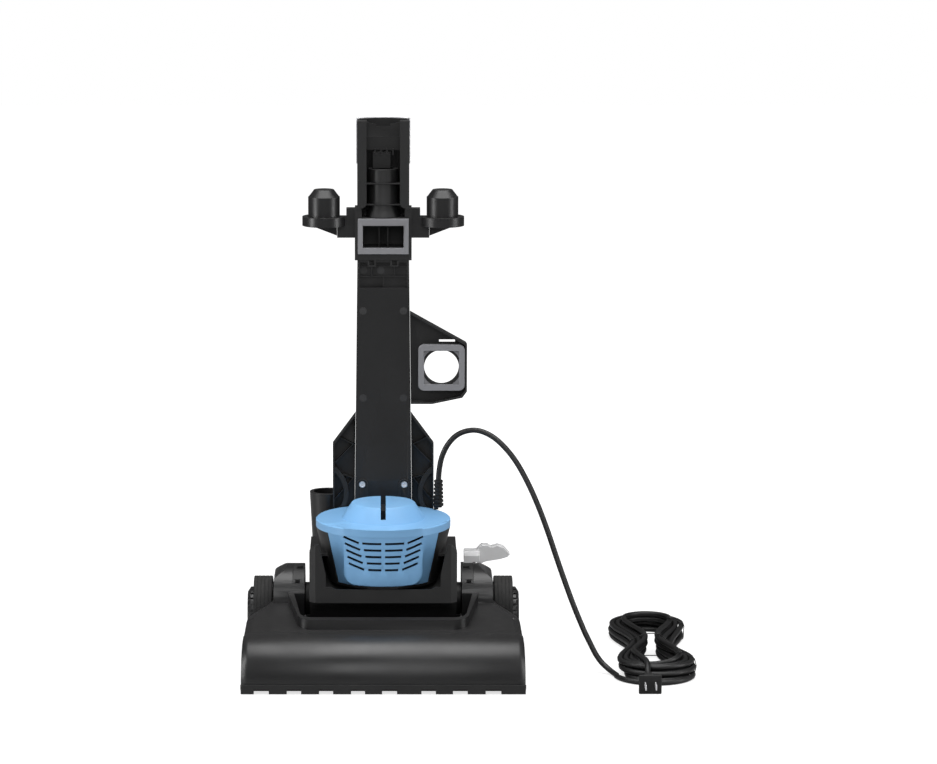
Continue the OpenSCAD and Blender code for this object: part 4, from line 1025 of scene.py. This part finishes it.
@dataclass
class Ties:
    """The wire ties pulled round the hank, each with its twisted tail.

    Attributes:
        middle: the hank's middle on the floor.
        strand: radius of a strand of the cord.
        wire: radius of a tie's wire.
        places: Y of each tie from the middle, and 1 where it holds the right limb alone.
        reach: strands further than this from the middle in X aren't held.
        corners: points round each strand that the loop may touch.
        twist: radius of the tail's twist.
        tail_lift: height of the twist's middle over the loop.
        tail_step: how far the tail runs for each of its points.
        tail_turn: how far it turns for each, in radians.
        tail_rise: how far it rises for each.
        tail_points: how many points it has.
    """

    middle: tuple[float, float]
    strand: float
    wire: float = 0.0006
    places: tuple = ((0.0, 0), (-0.1, 1), (0.092, 1))
    reach: float = 0.06
    corners: int = 16
    twist: float = 0.0007
    tail_lift: float = 0.0011
    tail_step: float = 0.00052
    tail_turn: float = 0.55
    tail_rise: float = 0.00006
    tail_points: int = 25

    def build(self, line: Sequence[Vector]) -> None:
        """Pull each tie tight round the strands that it holds.

        Args:
            line: the cord's middle line.
        """
        mx, my = self.middle
        shape = bmesh.new()
        for y, side in self.places:
            at = my + y
            held = [a.lerp(b, (at - a.y) / (b.y - a.y)) for a, b in zip(line, line[1:])
                    if (a.y - at) * (b.y - at) < 0 and abs(a.x - mx) < self.reach and side * (a.x - mx) >= 0]
            around = [Vector((x, at, z)) for x, z in self._loop([(p.x, p.z) for p in held])]
            self._take(shape, tube_along("tie", around, self.wire, closed=True, sides=1))
            top = max(around, key=lambda p: p.z)
            for start in (0.0, math.pi):
                tail = []
                for step in range(self.tail_points):
                    angle = start + step * self.tail_turn
                    lift = self.tail_lift + self.twist * math.sin(angle) + self.tail_rise * step
                    tail.append(top + Vector((self.twist * math.cos(angle), -step * self.tail_step, lift)))
                self._take(shape, tube_along("tie", tail, self.wire, sides=1))
        mesh = finish_mesh(shape, "hank_ties")
        add_piece("hank_ties", mesh, CORD_SHEATH, Body.FOOT, ["cord_ties"])

    def _loop(self, strands: Sequence[tuple[float, float]]) -> list[tuple[float, float]]:
        """The tightest loop round a bundle of strands cut across.

        Args:
            strands: the middle of each strand, as x and z.

        Returns:
            The loop's corners in order.
        """
        out = self.strand + self.wire
        rim = {(x + out * math.cos(math.tau * k / self.corners),
                max(z + out * math.sin(math.tau * k / self.corners), self.wire))
               for x, z in strands for k in range(self.corners)}
        loop = []
        for points in (sorted(rim), sorted(rim, reverse=True)):
            half: list[tuple[float, float]] = []
            for x, z in points:
                while len(half) > 1 and ((half[-1][0] - half[-2][0]) * (z - half[-2][1])
                                         - (half[-1][1] - half[-2][1]) * (x - half[-2][0])) <= 1e-9:
                    half.pop()
                half.append((x, z))
            loop += half[:-1]
        return loop

    @staticmethod
    def _take(shape: bmesh.types.BMesh, mesh: bpy.types.Mesh) -> None:
        """Add a mesh to a bmesh and drop it."""
        shape.from_mesh(mesh)
        bpy.data.meshes.remove(mesh)


@dataclass
class Plug:
    """The moulded plug: ribbed neck, finger stops, waisted body and face flange.

    Attributes:
        axis_z: height of its middle.
        ribs: how many ribs the neck has.
        first_rib: from the neck's tip to the first rib.
        rib: half width of the first rib.
        rib_less: how much less each rib has than the one before.
        rib_pitch: from one rib to the next.
        rib_long: length of a rib.
        neck: half width of the neck and the length that it reaches in front of the cord.
        stop: half width and half height of the finger stops.
        stop_at: the finger stops' ends, from the cord's end.
        body: half width and half height of the body.
        body_at: the body's ends, from the face and from the cord's end.
        waist: how much of its width and height the body keeps at the cord's end.
        face: half width, half height and thickness of the flange.
        soft: radius of the edges of the ribs, neck, finger stops, body and flange.
    """

    axis_z: float = 0.012
    ribs: int = 4
    first_rib: float = 0.0005
    rib: float = 0.0062
    rib_less: float = 0.0004
    rib_pitch: float = 0.0047
    rib_long: float = 0.0034
    neck: tuple[float, float] = (0.0045, 0.019)
    stop: tuple[float, float] = (0.013, 0.0058)
    stop_at: tuple[float, float] = (0.0235, 0.0178)
    body: tuple[float, float] = (0.011, 0.009)
    body_at: tuple[float, float] = (0.003, 0.0225)
    waist: tuple[float, float] = (0.8, 0.75)
    face: tuple[float, float, float] = (0.014, 0.012, 0.004)
    soft: tuple = (0.0012, 0.0018, 0.0022, 0.003, 0.0015)

    def build(self) -> bpy.types.Object:
        """Build the plug from its rounded blocks.

        Returns:
            The plug's piece.
        """
        low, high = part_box("plug_body")
        back, front = high[1], low[1]
        rib_edge, neck_edge, stop_edge, body_edge, face_edge = self.soft
        shape = bmesh.new()
        for rib in range(self.ribs):
            size = self.rib - self.rib_less * rib
            at = back - self.neck[1] + self.first_rib + rib * self.rib_pitch
            self._block(shape, (size, size), (at, at + self.rib_long), rib_edge)
        self._block(shape, (self.neck[0], self.neck[0]), (back - self.neck[1], back), neck_edge)
        self._block(shape, self.stop, (back - self.stop_at[0], back - self.stop_at[1]), stop_edge)
        body = self._block(shape, self.body, (front + self.body_at[0], back - self.body_at[1]), 0.0)
        mx = (low[0] + high[0]) / 2
        for vert in body:
            if vert.co.y > front + 2 * self.body_at[0]:
                vert.co.x = mx + (vert.co.x - mx) * self.waist[0]
                vert.co.z = self.axis_z + (vert.co.z - self.axis_z) * self.waist[1]
        edges = list({edge for vert in body for edge in vert.link_edges})
        bmesh.ops.bevel(shape, geom=edges, offset=body_edge, segments=4, profile=0.5, affect="EDGES",
                        material=-1)
        self._block(shape, self.face[:2], (front, front + self.face[2]), face_edge)
        mesh = finish_mesh(shape, "moulded_plug", 40.0)
        return add_piece("moulded_plug", mesh, BLACK_RUBBER, Body.FOOT, ["plug_body"])

    def _block(
        self, shape: bmesh.types.BMesh, half: Sequence[float], along: tuple[float, float], round_by: float,
    ) -> list[bmesh.types.BMVert]:
        """Add a block about the plug's own middle line.

        Args:
            shape: the plug so far.
            half: half of its width and half of its height.
            along: where it starts and ends in Y.
            round_by: radius of its edges.

        Returns:
            The block's vertices before its edges are rounded.
        """
        low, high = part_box("plug_body")
        mx = (low[0] + high[0]) / 2
        return box_in(shape, (mx - half[0], along[0], self.axis_z - half[1]),
                      (mx + half[0], along[1], self.axis_z + half[1]), round_by)


# ---- Studio ----


@dataclass
class Studio:
    """A plain pale floor, a white surround, soft boxes and the camera.

    Attributes:
        eye: where the camera stands.
        pitch: how far it looks down, in degrees.
        lens: its focal length in millimetres.
        shift: how far its frame is moved sideways.
        boxes: name, place, aim, width and height, and power in watts of each soft box.
        fill: strength of the surround's light on the surfaces.
        floor_tone: the floor's grey.
        floor_near: the floor's lift to the eye under the machine, fading to white far away.
        floor_fade: the distances between which it fades.
        floor_half: half of the floor's side.
        floor_middle: the middle of the floor.
    """

    eye: Point = (0.0, -5.147, 1.228)
    pitch: float = 9.535
    lens: float = 161.17
    shift: float = 0.091
    boxes: tuple = (
        ("top_box", (0.1, -0.15, 2.3), (0.1, 0.0, 0.0), (2.6, 1.5), 62.0),
        ("front_box", (0.2, -4.2, 2.6), (0.1, 0.0, 0.2), (3.2, 2.0), 64.0),
        ("left_strip", (-1.4, -0.5, 0.5), (0, -0.05, 0.25), (0.4, 1.4), 14.0),
        ("right_strip", (1.8, -0.5, 0.5), (0, -0.05, 0.25), (0.4, 1.4), 14.0),
    )
    fill: float = 0.09
    floor_tone: float = 0.42
    floor_near: float = 0.72
    floor_fade: tuple[float, float] = (0.55, 1.5)
    floor_half: float = 6.0
    floor_middle: Point = (0.0, 1.0, -0.0002)

    def build(self) -> None:
        """Set the camera first, then the lights, the surround and the floor."""
        self._camera()
        bpy.context.scene.view_settings.view_transform = "Standard"
        for box in self.boxes:
            self._light(*box)
        self._surround()
        self._floor()

    def _camera(self) -> None:
        """The camera, low in front of the machine and looking slightly down."""
        lens = bpy.data.cameras.new("camera")
        lens.lens = self.lens
        lens.sensor_width = 36.0
        lens.shift_x = self.shift
        lens.clip_end = 50.0
        camera = bpy.data.objects.new("camera", lens)
        camera.location = self.eye
        camera.rotation_euler = (math.radians(90.0 - self.pitch), 0.0, 0.0)
        bpy.context.scene.collection.objects.link(camera)
        bpy.context.scene.camera = camera

    @staticmethod
    def _light(name: str, place: Point, aim: Point, size: tuple[float, float], power: float) -> None:
        """Hang one soft box.

        Args:
            name: the light's name.
            place: where it hangs.
            aim: what it points at.
            size: its width and height.
            power: its power in watts.
        """
        lamp = bpy.data.lights.new(name, "AREA")
        lamp.shape = "RECTANGLE"
        lamp.size, lamp.size_y = size
        lamp.energy = power
        holder = bpy.data.objects.new(name, lamp)
        holder.location = place
        holder.rotation_euler = (Vector(aim) - Vector(place)).to_track_quat("-Z", "Y").to_euler()
        bpy.context.scene.collection.objects.link(holder)

    def _surround(self) -> None:
        """White to the eye and to rays through glass, and a dimmer even light on the surfaces and in their
        reflections.
        """
        world = bpy.data.worlds.new("pale_surround")
        bpy.context.scene.world = world
        world.use_nodes = True
        tree = world.node_tree
        link = tree.links.new
        light = tree.nodes["Background"]
        light.inputs["Color"].default_value = WHITE
        light.inputs["Strength"].default_value = self.fill
        shown = add_node(tree, "Background", {"Color": WHITE, "Strength": 1.0})
        path = add_node(tree, "LightPath")
        either = add_node(tree, "Math", operation="MAXIMUM")
        mix = add_node(tree, "MixShader")
        link(path.outputs["Is Camera Ray"], either.inputs[0])
        link(path.outputs["Is Transmission Ray"], either.inputs[1])
        link(either.outputs["Value"], mix.inputs["Fac"])
        link(light.outputs["Background"], mix.inputs[1])
        link(shown.outputs["Background"], mix.inputs[2])
        link(mix.outputs["Shader"], tree.nodes["World Output"].inputs["Surface"])

    def _floor(self) -> None:
        """A wide pale floor that keeps the machine's shadow."""
        shape = bmesh.new()
        bmesh.ops.create_grid(shape, x_segments=1, y_segments=1, size=self.floor_half,
                              matrix=Matrix.Translation(self.floor_middle))
        mesh = bpy.data.meshes.new("floor")
        shape.to_mesh(mesh)
        shape.free()
        floor = bpy.data.objects.new("floor", mesh)
        bpy.context.scene.collection.objects.link(floor)
        paint = bpy.data.materials.new("pale_floor")
        paint.use_nodes = True
        tree = paint.node_tree
        shader = tree.nodes["Principled BSDF"]
        shader.inputs["Base Color"].default_value = (*[self.floor_tone] * 3, 1.0)
        shader.inputs["Roughness"].default_value = 0.8
        shader.inputs["Specular IOR Level"].default_value = 0.2
        shader.inputs["Emission Color"].default_value = WHITE
        path = add_node(tree, "LightPath")
        place = add_node(tree, "TexCoord")
        away = add_node(tree, "VectorMath", operation="LENGTH")
        near, far = self.floor_fade
        ends = {"From Min": near, "From Max": far, "To Min": self.floor_near, "To Max": 1.0}
        grow = add_node(tree, "MapRange", ends, interpolation_type="SMOOTHSTEP")
        lift = add_node(tree, "Math", operation="MULTIPLY")
        link = tree.links.new
        link(place.outputs["Object"], away.inputs[0])
        link(away.outputs["Value"], grow.inputs["Value"])
        link(grow.outputs["Result"], lift.inputs[1])
        link(path.outputs["Is Camera Ray"], lift.inputs[0])
        link(lift.outputs["Value"], shader.inputs["Emission Strength"])
        mesh.materials.append(paint)


def dress_plain_nodes(frame: dict) -> None:
    """Give each frame node that still shows the finish of its slot.

    Args:
        frame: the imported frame.
    """
    slots = {part["node"]: part["material_slot"] for part in frame["record"]["subparts"]}
    for name, node in frame["nodes"].items():
        finish = BY_SLOT[slots[name]]
        if not node.material_slots:
            node.data.materials.append(finish.material())
        for held in node.material_slots:
            held.material = finish.material()


def main() -> None:
    """Build the studio, then every sub-assembly in order."""
    logging.basicConfig(level=logging.INFO, format="%(name)s: %(message)s")
    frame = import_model()
    Studio().build()
    dress_plain_nodes(frame)
    Mouldings().build(frame)
    PowerCord().build()
    LowerHose().build()
    Tyre(1).build()
    Tyre(-1).build()
    BristleStrips().build()
    PedalSpring().build()
    CoverMarks().build()


if __name__ == "__main__":
    main()
